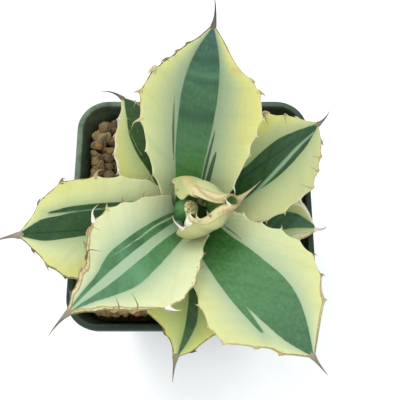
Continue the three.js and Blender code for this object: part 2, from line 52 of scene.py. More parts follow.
CAMERA_AT = (3.0, -73.6, 307.9)  # mm, over the front edge of the pot and looking steeply down
CAMERA_AIM = (3.0, 3.5, 80.0)
LENS = 57.6  # mm
SENSOR = 36  # mm wide


def make_camera():
    camera = bpy.data.objects.new("camera", bpy.data.cameras.new("camera"))
    camera.data.lens = LENS
    camera.data.sensor_width = SENSOR
    camera.data.clip_start = 0.01
    camera.location = Vector(CAMERA_AT) * MM
    camera.rotation_euler = (Vector(CAMERA_AIM) - Vector(CAMERA_AT)).to_track_quat("-Z", "Y").to_euler()
    bpy.context.scene.collection.objects.link(camera)
    bpy.context.scene.camera = camera


make_camera()

# ---------------------------------------------------------------- small tools


def draw(index, seed):
    """A repeatable number from 0 to 1 for each whole number and seed."""
    wave = np.sin(np.asarray(index) * 12.9898 + seed * 78.233) * 43758.5453
    return wave - np.floor(wave)


def chance(index, seed, low=0.0, high=1.0):
    """One such number, between two limits."""
    return low + (high - low) * float(draw(index, seed))


def level(x, y, radius, angle, height):
    """Points at this distance and angle from a centre, at the given height."""
    return np.stack([x + radius * np.cos(angle), y + radius * np.sin(angle), height + 0 * angle], axis=-1)


def smooth(xs, ys, x):
    """A smooth curve through the values ys at the places xs."""
    xs, ys = np.asarray(xs, float), np.asarray(ys, float)
    last = len(xs) - 1
    ends = np.arange(last + 1)
    before, after = np.maximum(ends - 1, 0), np.minimum(ends + 1, last)
    slope = (ys[after] - ys[before]) / (xs[after] - xs[before])
    x = np.clip(x, xs[0], xs[-1])
    i = np.clip(np.searchsorted(xs, x) - 1, 0, last - 1)
    step = xs[i + 1] - xs[i]
    u = (x - xs[i]) / step
    return (
        (2 * u**3 - 3 * u**2 + 1) * ys[i] + (u**3 - 2 * u**2 + u) * step * slope[i]
        + (3 * u**2 - 2 * u**3) * ys[i + 1] + (u**3 - u**2) * step * slope[i + 1]
    )


def along(values, share):
    """A smooth curve through values that are evenly spaced from 0 to 1."""
    return smooth(np.linspace(0, 1, len(values)), values, share)


def unit(v):
    return v / np.linalg.norm(v, axis=-1, keepdims=True)


def ease(low, high, x):
    """0 below low, 1 above high, and a smooth step between."""
    t = np.clip((x - low) / (high - low), 0, 1)
    return t * t * (3 - 2 * t)


def tube_faces(rows, around):
    """The faces of a closed tube of rings, with both ends shut."""
    faces = []
    for r in range(rows - 1):
        for k in range(around):
            a, b = r * around + k, r * around + (k + 1) % around
            faces.append((a, b, b + around, a + around))
    faces.append(tuple(range(around))[::-1])
    faces.append(tuple(range((rows - 1) * around, rows * around)))
    return faces


class Shells:
    """Closed shells with a number of named fields on their points, made into one object."""

    def __init__(self):
        self.points, self.faces, self.material_of, self.fields, self.count = [], [], [], {}, 0

    def add(self, points, faces, material=0, **fields):
        points = np.asarray(points, float).reshape(-1, 3)
        corners = np.array([f[:3] for f in faces[: len(faces) - 2]] or [f[:3] for f in faces])
        quads = np.array([(f[0], f[2], f[3]) for f in faces if len(f) == 4] or [(0, 0, 0)])
        volume = sum(
            np.einsum("ij,ij->", points[t[:, 0]], np.cross(points[t[:, 1]], points[t[:, 2]]))
            for t in (corners, quads)
        )
        for face in faces:
            face = face if volume > 0 else face[::-1]
            self.faces.append(tuple(int(i) + self.count for i in face))
            self.material_of.append(material)
        for name, values in fields.items():
            self.fields.setdefault(name, []).append((self.count, np.broadcast_to(values, len(points))))
        self.points.append(points)
        self.count += len(points)

    def build(self, name, materials):
        mesh = bpy.data.meshes.new(name)
        mesh.from_pydata((np.concatenate(self.points) * MM).tolist(), [], self.faces)
        for material in materials:
            mesh.materials.append(material)
        mesh.polygons.foreach_set("material_index", self.material_of)
        mesh.polygons.foreach_set("use_smooth", [True] * len(self.faces))
        for field, parts in self.fields.items():
            values = np.zeros(self.count, np.float32)
            for start, part in parts:
                values[start:start + len(part)] = part
            mesh.attributes.new(field, "FLOAT", "POINT").data.foreach_set("value", values)
        mesh.update()
        obj = bpy.data.objects.new(name, mesh)
        bpy.context.scene.collection.objects.link(obj)
        return obj


def spike(path, radii, sides, wide=1.0, side=None):
    """Rings of a tapering spike along a path, `wide` times as broad along `side` as across it."""
    wide = np.broadcast_to(wide, len(path))
    path = np.asarray(path, float)
    forward = unit(np.gradient(path, axis=0))
    side = np.array([0.0, 0.0, 1.0]) if side is None else np.asarray(side, float)
    angles = np.linspace(0, 2 * math.pi, sides, endpoint=False)
    rings = []
    for centre, ahead, radius, broad in zip(path, forward, radii, wide):
        side = unit(side - ahead * side.dot(ahead))
        other = np.cross(ahead, side)
        for angle in angles:
            rings.append(centre + radius * (broad * math.cos(angle) * side + math.sin(angle) * other))
    return rings


def through(points, places, samples):
    """Points of a smooth curve through given ones, at even steps of its parameter."""
    points = np.asarray(points, float)
    t = np.linspace(0, 1, samples)
    return np.stack([smooth(places, points[:, axis], t) for axis in range(3)], axis=1), t


# ---------------------------------------------------------------- materials


LIGHT = 1.25  # how much brighter a level surface looks under these lights than its own colour is


def tone(red, green, blue, light=LIGHT):
    """The linear colour of a surface that should look like this on screen (0 to 255) when well lit."""
    def linear(value):
        value /= 255
        return (value / 12.92 if value <= 0.04045 else ((value + 0.055) / 1.055) ** 2.4) / light
    return (linear(red), linear(green), linear(blue), 1.0)


def ramp_stops(*given):
    """Stops of a colour ramp, from its place and its colour on screen."""
    return [(place, tone(*colour)) for place, *colour in given]


class Graph:
    """Short names for the shader nodes that the materials below are made of."""

    def __init__(self, name):
        self.material = bpy.data.materials.new(name)
        self.material.use_nodes = True
        self.tree = self.material.node_tree
        self.tree.nodes.clear()
        self.shader = self.node("BsdfPrincipled", {})
        self.node("OutputMaterial", {0: self.shader.outputs[0]})

    def plug(self, socket, value):
        if isinstance(value, bpy.types.NodeSocket):
            self.tree.links.new(value, socket)
        else:
            socket.default_value = value

    def node(self, kind, given):
        """A new node, with a value or a link for each given socket, by its name or its number."""
        node = self.tree.nodes.new("ShaderNode" + kind)
        for key, value in given.items():
            self.plug(node.inputs[key], value)
        return node

    def field(self, name):
        node = self.node("Attribute", {})
        node.attribute_name = name
        return node.outputs["Fac"]

    def place(self):
        return self.node("TexCoord", {}).outputs["Object"]

    def math(self, operation, a, b, clamp=False):
        node = self.node("Math", {0: a, 1: b})
        node.operation = operation
        node.use_clamp = clamp
        return node.outputs[0]

    def plus(self, a, b):
        return self.math("ADD", a, b)

    def times(self, a, b):
        return self.math("MULTIPLY", a, b)

    def swing(self, noise, size):
        """A noise about 0 instead of 0.5, made this many times as large."""
        return self.times(self.math("SUBTRACT", noise, 0.5), size)

    def step(self, value, low, high, out_low=0.0, out_high=1.0):
        """A smooth step of a value between two limits."""
        node = self.node("MapRange", dict(enumerate((value, low, high, out_low, out_high))))
        node.interpolation_type = "SMOOTHSTEP"
        return node.outputs[0]

    def mix(self, share, a, b):
        node = self.tree.nodes.new("ShaderNodeMix")
        node.data_type = "RGBA"
        for socket, value in ((0, share), (6, a), (7, b)):
            self.plug(node.inputs[socket], value)
        return node.outputs[2]

    def over(self, colour, *layers):
        """Colours laid over one another: (colour, value, low, high, and what the step gives there)."""
        for laid, *step in layers:
            colour = self.mix(self.step(*step), colour, laid)
        return colour

    def vector(self, x, y, z=0.0):
        return self.node("CombineXYZ", {0: x, 1: y, 2: z}).outputs[0]

    def noise(self, place, scale, detail=3.0, rough=0.55):
        given = {"Vector": place, "Scale": scale, "Detail": detail, "Roughness": rough}
        return self.node("TexNoise", given).outputs[0]

    def cells(self, place, scale):
        return self.node("TexVoronoi", {"Vector": place, "Scale": scale}).outputs["Distance"]

    def ramp(self, value, stops):
        node = self.node("ValToRGB", {0: value})
        elements = node.color_ramp.elements
        while len(elements) < len(stops):
            elements.new(0.5)
        for element, (place, colour) in zip(elements, stops):
            element.position = place
            element.color = colour
        return node.outputs[0]

    def finish(self, colour, roughness, bumps=(), shine=0.5):
        """The material, with its bumps laid on one another: (height, strength, distance in metres)."""
        given = {"Base Color": colour, "Roughness": roughness, "Specular IOR Level": shine}
        for height, strength, distance in bumps:
            bump = self.node("Bump", {"Height": height, "Strength": strength, "Distance": distance})
            if "Normal" in given:
                self.plug(bump.inputs["Normal"], given["Normal"])
            given["Normal"] = bump.outputs[0]
        for key, value in given.items():
            self.plug(self.shader.inputs[key], value)
        return self.material


HORN_RAMP = ramp_stops((0, 238, 234, 222), (0.25, 222, 212, 164), (0.5, 180, 160, 104),
                       (0.75, 130, 112, 76), (1, 76, 64, 48))
ASHEN_RAMP = ramp_stops((0, 214, 210, 196), (0.35, 160, 150, 122), (0.7, 112, 100, 80), (1, 66, 62, 54))
STONE_RAMP = ramp_stops((0, 122, 112, 74), (0.25, 146, 120, 76), (0.45, 154, 132, 84),
                        (0.62, 124, 104, 80), (0.78, 162, 146, 100), (0.93, 162, 112, 66), (1, 116, 98, 64))


def leaf_material(name, look):
    """A leaf's skin: green middle, pale margins, streaks along its fibres and a horny rim.

    The fields say where each point lies: `across` and `ahead` in mm, and `green`, `dark`, `pale`, `husk`,
    `dry`, `rust`, `white` and `rim` as mm inside the edge of each marking (less than 0 outside it).
    `margin` runs from 0 at the green to 1 at the leaf's edge, and `bar` is above 0 on dark pressed marks
    and below it on pale ones."""
    g = Graph(name)
    across, ahead, share = g.field("across"), g.field("ahead"), g.field("share")

    def fibres(wide, long, *noise):
        """A noise with its own scales across the leaf and along it."""
        return g.noise(g.vector(g.times(across, wide), g.times(ahead, long)), 1.0, *noise)

    def laid(colour, *layers):
        """Colours of this look laid over one another, each by its name."""
        return g.over(colour, *((look[name], *step) for name, *step in layers))

    fibre = fibres(2.2, 0.09, 4.0, 0.6)
    thread = fibres(6.0, 0.25, 2.0)
    cloud = fibres(0.22, 0.13, 3.0)
    mottle = fibres(0.8, 0.6, 4.0, 0.65)
    grain = g.noise(g.vector(across, ahead), 3.2, 3.0)
    waver = g.swing(fibre, 1.6)

    def marking(name, ragged):
        """A marking's field, its edge made ragged along the fibres."""
        return g.plus(g.field(name), g.times(waver, ragged))

    # pale margins, yellower in places, with faint threads and a greyish band beside the green
    yellow = g.plus(g.field("yellow"), g.swing(cloud, 0.7))
    margin = laid(look["cream"], ("yellow", yellow, 0.0, 1.0), ("wash", thread, 0.55, 0.85, 0.0, 0.16),
                  ("wash", mottle, 0.5, 0.8, 0.0, 0.22))
    near = g.math("SUBTRACT", 1.0, g.field("margin"), clamp=True)
    near = g.times(g.math("POWER", near, look["fade"]), g.step(fibre, 0.2, 0.8, 1.0, 0.84))
    margin = g.mix(near, margin, look["wash"])

    # marks pressed across it by the neighbours in the bud
    bow = g.math("SUBTRACT", ahead, g.times(g.times(across, across), 0.02))
    crease = g.noise(g.vector(bow, g.times(across, 0.06)), 0.22, 3.0)
    bar = g.plus(g.field("bar"), g.swing(mottle, 0.5))
    margin = laid(margin, ("wash", crease, 0.5, 0.65, 0.0, 0.12))

    # the green middle, yellower towards the root and bluish towards the tip, where the blue is partly the
    # leaf's own and partly a painted reflection
    middle = laid(
        look["root"], ("green", share, 0.15, 0.55), ("tip", share, 0.55, 1.0, 0.0, 0.8),
        ("light", fibre, 0.4, 0.75, 0.0, 0.35), ("light", mottle, 0.45, 0.72, 0.0, 0.5),
        ("deep", mottle, 0.3, 0.5, 0.4, 0.0), ("deep", cloud, 0.4, 0.7, 0.0, 0.3),
        ("wash", grain, 0.62, 0.78, 0.0, 0.3), ("deep", crease, 0.5, 0.62, 0.0, look["creased"]),
        ("light", crease, 0.35, 0.48, look["creased"] * 0.7, 0.0), ("deep", bar, 0.1, 1.0, 0.0, 0.85),
        ("light", bar, -1.0, -0.1, 0.8, 0.0),
    )

    # the bands, stripes and flecks, a thin waxy bloom, dry and white strips, and the horny rim
    dry = marking("dry", 0.5)
    rim = g.plus(g.field("rim"), g.swing(mottle, 1.5))
    horny = g.plus(g.field("rim_tint"), g.swing(grain, 0.5))
    tan = laid(look["straw"], ("husk", cloud, 0.4, 0.6))
    strip = laid(look["strip"], ("husk", thread, 0.35, 0.7))
    withered = laid(look["dry"], ("husk", thread, 0.4, 0.7, 0.0, look["husky"]),
                    ("brown", dry, 0.3, 0.7, 0.75, 0.0))
    colour = g.over(
        margin, (middle, marking("green", 0.45), -0.18, 0.18),
        (look["stripe"], marking("pale", 0.25), -look["soft"], 0.05 + look["soft"], 0.0, 0.9),
        (look["deep"], marking("dark", 0.2), -0.12, 0.15, 0.0, 0.92),
        (look["fleck"], grain, 0.66, 0.8, 0.0, look["flecked"]),
        (look["wax"], cloud, 0.3, 0.75, 0.0, look["bloom"]),
        (strip, marking("white", 0.5), -0.2, 0.4), (tan, marking("husk", 1.0), -0.6, 1.2, 0.0, 0.8),
        (withered, dry, -0.15, 0.2), (look["rust"], marking("rust", 1.0), -0.5, 0.8, 0.0, 0.9),
        (g.ramp(horny, HORN_RAMP), rim, -0.12, 0.16),
        (look["under"], g.field("under"), 0.3, 1.0, 0.0, 0.35),
    )
    roughness = g.step(cloud, 0.2, 0.8, look["rough"], look["rough"] + 0.18)
    bumps = [(fibre, 0.3, 0.0003), (thread, 0.2, 0.0001), (crease, 0.4, 0.0007), (mottle, 0.3, 0.0004)]
    return g.finish(colour, roughness, bumps, 0.18)


def horn_material():
    """Teeth and spines: `tint` runs from white to dark brown, `reach` from the root to the point, and
    `grey` is 1 on spines."""
    g = Graph("horn")
    reach = g.field("reach")
    grain = g.noise(g.place(), 900.0, 3.0)
    mottled = g.plus(g.field("tint"), g.swing(grain, 0.4))
    darker = g.ramp(g.plus(mottled, 0.3), HORN_RAMP)
    colour = g.over(g.ramp(mottled, HORN_RAMP), (darker, reach, 0.4, 1.0, 0.0, 0.85))
    ashen = g.plus(mottled, g.times(g.math("SUBTRACT", reach, 0.4), 0.5))
    colour = g.mix(g.field("grey"), colour, g.ramp(ashen, ASHEN_RAMP))
    return g.finish(colour, g.step(grain, 0.3, 0.7, 0.38, 0.55), [(grain, 0.3, 0.0001)])


def gravel_material():
    """Porous stones. `tint` picks each stone's colour, and `shade` darkens it with a painted shade."""
    g = Graph("gravel")
    place = g.place()
    coarse = g.noise(place, 420.0, 4.0, 0.65)
    fine = g.noise(place, 1600.0, 3.0, 0.7)
    pores = g.cells(place, 1500.0)
    colour = g.over(
        g.ramp(g.field("tint"), STONE_RAMP), (tone(116, 98, 60), coarse, 0.35, 0.65, 0.0, 0.4),
        (tone(176, 162, 118), fine, 0.5, 0.72, 0.0, 0.35), (tone(76, 64, 40), pores, 0.12, 0.3, 0.4, 0.0),
    )
    # painted shade: dark brown laid over the stone's colour
    colour = g.mix(g.field("shade"), colour, tone(46, 40, 24))
    bumps = [(coarse, 0.9, 0.0006), (pores, 0.8, 0.0004), (fine, 0.6, 0.0002)]
    return g.finish(colour, g.step(fine, 0.3, 0.7, 0.8, 0.98), bumps, 0.25)


def plastic_material():
    """The pot's dark green moulded plastic. The lip's edges are paler, worn and with a painted highlight,
    and `dust` is inside.
    """
    g = Graph("pot_plastic")
    place = g.place()
    cloud = g.noise(place, 60.0, 4.0)
    speckle = g.noise(place, 1300.0, 2.0)
    scuff = g.noise(place, 260.0, 5.0, 0.7)
    colour = g.over(tone(18, 40, 27), (tone(26, 50, 34), cloud, 0.3, 0.7),
                    (tone(84, 104, 82), speckle, 0.58, 0.75, 0.0, 0.4))
    # the lip's paler edges: partly wear, partly a painted highlight
    worn_and_lit = g.times(g.field("wear"), g.step(scuff, 0.3, 0.6, 0.35, 1.0))
    colour = g.mix(g.times(worn_and_lit, 0.75), colour, tone(118, 142, 112))
    dusty = g.times(g.field("dust"), g.step(scuff, 0.35, 0.7, 0.4, 1.0))
    colour = g.mix(g.times(dusty, 0.75), colour, tone(108, 116, 88))
    bumps = [(speckle, 0.25, 0.00008), (cloud, 0.3, 0.0006)]
    return g.finish(colour, g.step(scuff, 0.3, 0.75, 0.34, 0.56), bumps, 0.3)


def heart_material():
    """Unopened leaves: `wound` is 0 on the green one and grows along the pale winding, `top` runs from
    the foot to the free edge and `turn` is the angle round the heart."""
    g = Graph("heart_skin")
    top = g.field("top")
    grain = g.noise(g.place(), 700.0, 4.0)
    ribs = g.noise(g.vector(g.times(g.field("turn"), 3.2), g.times(top, 1.2)), 1.0, 3.0)
    green = g.over(tone(64, 118, 66), (tone(86, 138, 82), ribs, 0.4, 0.65),
                   (tone(112, 158, 92), top, 0.7, 1.0, 0.0, 0.5))
    pale = g.over(tone(255, 252, 200), (tone(246, 242, 168), ribs, 0.42, 0.62))
    pale = g.over(tone(196, 208, 116), (pale, top, 0.3, 0.75),
                  (tone(232, 196, 122), grain, 0.58, 0.78, 0.0, 0.35),
                  (tone(222, 184, 116), top, 0.975, 1.0, 0.0, 0.6))
    colour = g.over(green, (pale, g.field("wound"), 0.1, 0.2))
    bumps = [(ribs, 0.5, 0.0004), (grain, 0.4, 0.0002)]
    return g.finish(colour, g.step(grain, 0.3, 0.7, 0.45, 0.65), bumps, 0.2)


def stem_material():
    """Dry pale bark of the short stem, ringed with old leaf scars, and its thick roots."""
    g = Graph("stem_bark")
    height = g.field("height")
    grain = g.noise(g.place(), 500.0, 5.0, 0.65)
    rings = g.noise(g.vector(0.0, 0.0, height), 0.9, 3.0)
    colour = g.over(tone(148, 132, 92), (tone(104, 86, 58), grain, 0.35, 0.65),
                    (tone(74, 60, 42), rings, 0.45, 0.6, 0.0, 0.6),
                    (tone(56, 92, 40), height, 78.0, 84.0, 0.0, 0.95))
    return g.finish(colour, g.step(grain, 0.3, 0.7, 0.7, 0.9), [(grain, 0.6, 0.0004), (rings, 0.8, 0.0008)])


def floor_material():
    g = Graph("floor")
    grain = g.noise(g.place(), 40.0, 3.0)
    return g.finish(g.over(tone(243, 243, 241, 1), (tone(246, 246, 245, 1), grain, 0.3, 0.7)), 0.8)


# ---------------------------------------------------------------- leaves

BLADE_EDGE = 0.9  # thickness at a leaf's edge
ROOT_SHARE = 0.05  # where a blade's first row lies, inside the stem
STEM_AXIS = (0.5, -4.2)
KNOB = {"height": 0.8, "spread": 1.7}  # the low swelling of the edge under each tooth
TOOTH = {"reach": 1.7, "radius": 0.46, "sunk": 1.1, "lean": -18, "rise": 30, "spread": 24}
ROW_STEP = 0.45  # mm between a blade's rows
COLUMNS = 72  # points across a blade's upper face
ROUND = (60, 30, 0, -30, -60)  # degrees at which the rounded edge has points
FAR_OUTSIDE = -9.0  # mm, what a marking's field says far from the marking

# Shares of a blade's length at which its half-widths are given, from the root to the tip.
STATIONS = [0, 0.15, 0.3, 0.45, 0.6, 0.72, 0.84, 0.93, 1]

LEFT, RIGHT = 1, -1

# The leaves' shapes are those of the part's source. `attach` is the root's height in mm, `heading` and
# `turn` are the root's heading and how far it turns to the tip, in degrees, `lift` is the rise of the
# midline in degrees, and `gutter` how strongly the blade curls across. A claw is a long tooth: (side,
# share, reach in mm, lean towards the tip, rise above the blade, tint from 0, white, to 1, dark), and it
# may end with how stout it is. A lobe is (side, where it starts, is full, stays full to, ends, mm).
# Markings lie between two curves of offsets from the midline, in mm and positive to the left, given
# from `start` to `stop`: (start, stop, right-hand curve, left-hand curve). A line is (start, stop,
# curve, width), a border (side, start, stop, widths), and a bar is told of in bar_field. `rims` gives
# the horny rim's width and tint.
LEAVES = [
    dict(
        name="leaf_outer_right", attach=71.5, heading=353.2, turn=2, length=44.4, thick=3, lift=[24, 17, 7],
        gutter=[3, 1, 1.2], left=[9, 11.5, 13.5, 14.5, 14.8, 13.6, 10.6, 7.8, 1.4],
        right=[9, 11.5, 13, 13.5, 12, 9, 5, 3.4, 1.2],
        teeth={LEFT: [0.3, 0.46, 0.6, 0.73], RIGHT: [0.3, 0.45, 0.6, 0.76]},
        claws=[(LEFT, 0.87, 3.2, 20, 60, 0.1)],
        spine=dict(length=8, side=10, up=150, tint=0.1, grey=0.25, girth=0.75),
        green=[(0, 1, [-2.5, -2.4, -2.2, -1.8, -1.4, -0.9, 0, 0.3], [6, 6, 6, 6, 6, 6.2, 5.4, 1.5])],
        white=[(LEFT, 0.6, 0.99, [0.8, 2.2, 2.4, 1.2])], dry=[(RIGHT, 0.4, 0.98, [0.3, 3, 3.4, 1.4])],
        rims={LEFT: ([0.4, 0.5, 0.5], [0.4, 0.3, 0.3]), RIGHT: ([0.3, 0.4, 0.5], [0.4, 0.5, 0.6])},
        yellow={LEFT: [0.5, 0.6, 0.8, 0.6], RIGHT: [0.3, 0.4, 0.4, 0.3]}, look="old",
    ),
    dict(
        name="leaf_outer_back_left", attach=73, heading=125.5, turn=-14, length=53, thick=3,
        lift=[30, 20, 12], gutter=[3.5, 2, 2.5], left=[9, 11.5, 13.5, 14.6, 13.4, 10.2, 5.6, 2.4, 1],
        right=[9, 11.5, 14, 15, 14, 11, 7.4, 4.2, 1],
        teeth={LEFT: [0.28, 0.42, 0.55, 0.67, 0.78], RIGHT: [0.3, 0.44, 0.58, 0.7]},
        claws=[(LEFT, 0.875, 8, -17, 137, 0, 0.55), (RIGHT, 0.958, 6.1, -31, 122, 0, 0.6)],
        spine=dict(length=9.6, start_side=28, side=84, up=0, tint=0.85, girth=0.9),
        green=[(0, 1, [-6, -6.5, -6.8, -6.8, -6.6, -6.3, -6.2, -5.8, -1.6],
                [3.5, 3.6, 3.7, 3.7, 3.8, 4.2, 3.5, 1.4, -0.2])],
        pale=[(0.58, 0.78, [2.75, 2.85, 2.75], [3.05, 3.15, 2.95])],
        white=[(LEFT, 0.3, 0.96, [0.4, 0.7, 0.9, 0.7])],
        rims={LEFT: ([0.2, 0.2, 0.3], [0.1, 0.1, 0.5]), RIGHT: ([0.3, 0.3, 0.5], [0.3, 0.3, 0.6])},
        yellow={LEFT: [0.5, 0.7, 0.7, 0.5], RIGHT: [0.3, 0.3, 0.2, 0.1]}, look="darkest",
    ),
    dict(
        name="leaf_outer_front", attach=74.5, heading=264.5, turn=-3, length=50.5, thick=3,
        lift=[24, 16, 4], gutter=[3, 1, 1], left=[9, 11.5, 13.5, 15, 15.6, 14.6, 11, 6.2, 1.2],
        right=[9, 11.5, 13.5, 14.5, 14.4, 12, 4.8, 2, 1],
        teeth={LEFT: [0.3, 0.44, 0.58, 0.7, 0.95], RIGHT: [0.3, 0.45, 0.6, 0.73, 0.86]},
        claws=[(LEFT, 0.82, 3, 10, 20, 0.6)], spine=dict(length=8.5, side=6, up=-5, tint=0.55),
        green=[(0, 1, [1, 1.2, 1.3, 1.3, 1.4, 1.7, 1.7, 1.3, 0.4],
                [4.6, 4.7, 4.8, 4.8, 5, 5.2, 5.5, 3.8, 0.8])],
        rims={LEFT: ([0.3, 0.4, 0.5], [0.3, 0.5, 0.7]), RIGHT: ([0.3, 0.35, 0.5], [0.3, 0.5, 0.8])},
        yellow={LEFT: [0.5, 0.6, 0.6, 0.5], RIGHT: [0.5, 0.6, 0.6, 0.5]}, look="shaded",
    ),
    dict(
        name="leaf_middle_back_right", attach=76, heading=35.5, turn=-3, length=57, thick=3.3,
        lift=[33, 22, 10], gutter=[3.5, 1, 1], left=[10, 12.5, 15, 16.5, 17, 15.2, 10.6, 5, 1.2],
        right=[10, 13, 16.4, 19, 19, 18.4, 13, 7.5, 1.2],
        teeth={LEFT: [0.25, 0.38, 0.5, 0.63, 0.92], RIGHT: [0.25, 0.38, 0.5, 0.61, 0.95]},
        claws=[(LEFT, 0.773, 7.6, -10, 166, 0.55, 1.1), (LEFT, 0.785, 6.2, -28, 138, 0.5, 0.9),
               (LEFT, 0.874, 6.6, -19, 150, 0.5, 0.7), (RIGHT, 0.728, 7.2, -25, 123, 0.45, 0.8),
               (RIGHT, 0.82, 5.6, -17, 112, 0.5, 0.7), (RIGHT, 0.889, 6, -31, 112, 0.5, 0.7)],
        spine=dict(length=7, side=35, up=5, tint=0.75),
        green=[(0, 1, [-5, -5.2, -5.4, -6.3, -7.1, -7.3, -6.2, -4.2, -0.6],
                [4.2, 4.1, 3.9, 3.6, 3.3, 3.9, 3.9, 2.3, 0.2])],
        pale=[(0.3, 0.95, [-6.7, -7, -6.3, -5.1, -3.4, -2.1], [-6.2, -6.1, -5, -3.7, -2.4, -1.7])],
        dark=[(0.35, 0.9, [0.8, 0.3, -0.2, -0.6], 0.7)],
        rims={LEFT: ([0.3, 0.35, 0.45, 0.5], [0.3, 0.2, 0.15, 0.5]),
              RIGHT: ([0.3, 0.3, 0.4, 0.5], [0.5, 0.35, 0.3, 0.6])},
        yellow={LEFT: [0.5, 1, 1.2, 0.6, 0.2], RIGHT: [0.1, 0.1, 0.1, 0.1]}, look="olive",
    ),
    dict(
        name="leaf_middle_left", attach=77.5, heading=190, turn=-2, length=61.5, thick=3.3,
        lift=[29, 15, 6], gutter=[3.5, 1, 1], left=[10, 13, 16, 18, 18.8, 18.4, 13, 5.4, 1.2],
        right=[10, 13, 16.4, 17.6, 18, 17.4, 13.2, 6, 1.2],
        teeth={LEFT: [0.22, 0.34, 0.46, 0.57, 0.67, 0.77, 0.93], RIGHT: [0.25, 0.4, 0.88]},
        claws=[(RIGHT, 0.545, 4.4, -60, 30, 0.55), (RIGHT, 0.743, 4, -27, 100, 0.7, 1.1),
               (LEFT, 0.86, 2.8, -10, 20, 0.6)],
        spine=dict(length=9.5, side=25, up=5, tint=0.55, girth=1.25),
        green=[(0, 1, [-8.4, -8.4, -8.4, -8.4, -8, -7, -5.7, -4.6, -0.6],
                [2, 2.2, 2.4, 2.4, 2.4, 2.7, 3.1, 3, 0.6]),
               (0.2, 0.83, [-8.6, -8.6, -8.7, -8.6, -7.2], [-6, -6, -6.6, -6.5, -6.5])],
        pale=[(0.45, 0.84, [-7, -6.9, -6.7, -6.1], [-6.4, -6.3, -6.1, -5.7])],
        dark=[(0.6, 0.99, [0.6, 0.4, 0.1, 0], 0.6)],
        rims={LEFT: ([0.25, 0.3, 0.45, 0.6], [0.3, 0.5, 0.65, 0.8]),
              RIGHT: ([0.2, 0.25, 0.4, 0.6], [0.2, 0.3, 0.55, 0.8])},
        yellow={LEFT: [0.5, 0.6, 0.8, 0.7, 0.5], RIGHT: [-0.1, 0, 0.4, 0.7, 0.5]}, look="dark",
    ),
    dict(
        name="leaf_upper_front_right", attach=79.5, heading=307.5, turn=-4, length=67, thick=3.6,
        lift=[37, 21, 7], gutter=[4, 1, 0.8], left=[10, 12.6, 14.6, 18.8, 20.4, 18, 12.6, 6.2, 1.2],
        right=[10, 12.5, 15.5, 18.4, 20.8, 20, 11, 6.2, 1.2],
        teeth={LEFT: [0.22, 0.33, 0.43, 0.53], RIGHT: [0.25, 0.37, 0.49, 0.61]},
        claws=[(LEFT, 0.63, 2.2, 60, 90, 0.85), (LEFT, 0.73, 2, 60, 90, 0.7),
               (LEFT, 0.83, 1.4, 50, 80, 0.5), (RIGHT, 0.72, 1.2, 40, 40, 0.35, 1.2),
               (RIGHT, 0.82, 1.1, 30, 40, 0.45, 1.2), (RIGHT, 0.91, 1, 30, 40, 0.5, 1.2)],
        spine=dict(length=7.5, side=5, up=0, tint=0.6),
        green=[(0, 1, [-5.5, -6.5, -7, -7, -7.1, -7.1, -6, -4.2, -0.5],
                [4.3, 4.9, 5.5, 6.9, 7.9, 8.8, 7.8, 4.6, 0.4]),
               (0.12, 0.78, [-6.5, -8.3, -9.6, -9.8, -9], [-5.5, -6.5, -7, -7.35, -8])],
        dark=[(0.1, 0.32, [5.8, 6.7, 7.2], 0.5)], dry=[(LEFT, 0.7, 1, [0.2, 1, 1.1, 0.8])],
        rims={LEFT: ([0.15, 0.1, 0.15, 0.6], [0.1, 0.15, 0.35, 0.7]),
              RIGHT: ([0.15, 0.1, 0.2, 0.9], [0.3, 0.3, 0.4, 0.6])},
        yellow={LEFT: [0, 0.1, 0.4, 0.7, 0.4], RIGHT: [0.1, 0.3, 0.6, 0.6, 0.5]}, look="light",
    ),
    dict(
        name="leaf_upper_back", attach=81, heading=86, turn=-9, length=67.5, thick=3.6, lift=[42, 35, 26],
        gutter=[4.5, 1, 0.8], left=[10.5, 13.5, 17, 19.4, 21.4, 19, 11, 5, 1.2],
        right=[10.5, 13.5, 17.4, 19.5, 21.4, 18.6, 10, 5.4, 1.2],
        teeth={LEFT: [0.24, 0.36, 0.9], RIGHT: [0.38, 0.48, 0.57]},
        claws=[(LEFT, 0.855, 1.6, -30, 60, 0.7), (LEFT, 0.805, 2.6, -50, 40, 0.75, 1.2),
               (LEFT, 0.75, 2.4, -50, 40, 0.42, 2.1), (LEFT, 0.64, 3, -10, 40, 0.45, 1.5),
               (LEFT, 0.506, 5.4, -47, 30, 0.4, 0.8), (RIGHT, 0.708, 3.8, -19, 46, 0.5),
               (RIGHT, 0.763, 2.8, -21, 67, 0.5, 1.2), (RIGHT, 0.2, 3.4, -75, 20, 0.1)],
        spine=dict(length=11, side=26, up=0, tint=0.9),
        green=[(0, 1, [-1, -1.3, -2.3, -3.5, -4.7, -5.3, -5.1, -3.6, -0.3],
                [7, 7.2, 7.5, 7.9, 7.8, 7.6, 6.6, 4.2, 0.2])],
        dark=[(0.3, 0.66, [8.3, 9.2, 9.8], 0.75), (0.1, 0.49, [-1.8, -3, -4.4, -5.9], 1),
              (0.06, 0.37, [-3.2, -4.2, -5.4, -6.8], 1.7)],
        bars=[(0.83, 0.03, 0.6), (0.755, 0.025, -0.7), (0.72, 0.012, 0.6), (0.54, 0.045, 0.75),
              (0.4, 0.05, -0.4), (0.35, 0.015, 0.4), (0.29, 0.02, -0.4)],
        rust=[(0.795, 0.818, [-15.6, -15.2], [-8.6, -9])],
        rims={LEFT: ([0.15, 0.2, 0.2, 0.5, 0.7], [0.2, 0.2, 0.3, 0.8, 1]),
              RIGHT: ([0.15, 0.2, 0.25, 0.35, 0.6], [0.2, 0.2, 0.2, 0.4, 0.7])},
        yellow={LEFT: [0, 0.1, 0.4, 0.6, 0.5], RIGHT: [0.1, 0.3, 0.9, 0.9, 0.7]}, look="blue",
    ),
    dict(
        name="leaf_upper_front_left", attach=82.5, heading=224.5, turn=4, length=60, thick=3.6,
        lift=[42, 28, 15], gutter=[4.5, 0.9, 0.8], left=[10, 13, 17.8, 21.6, 20.8, 15.6, 8, 3.8, 1.2],
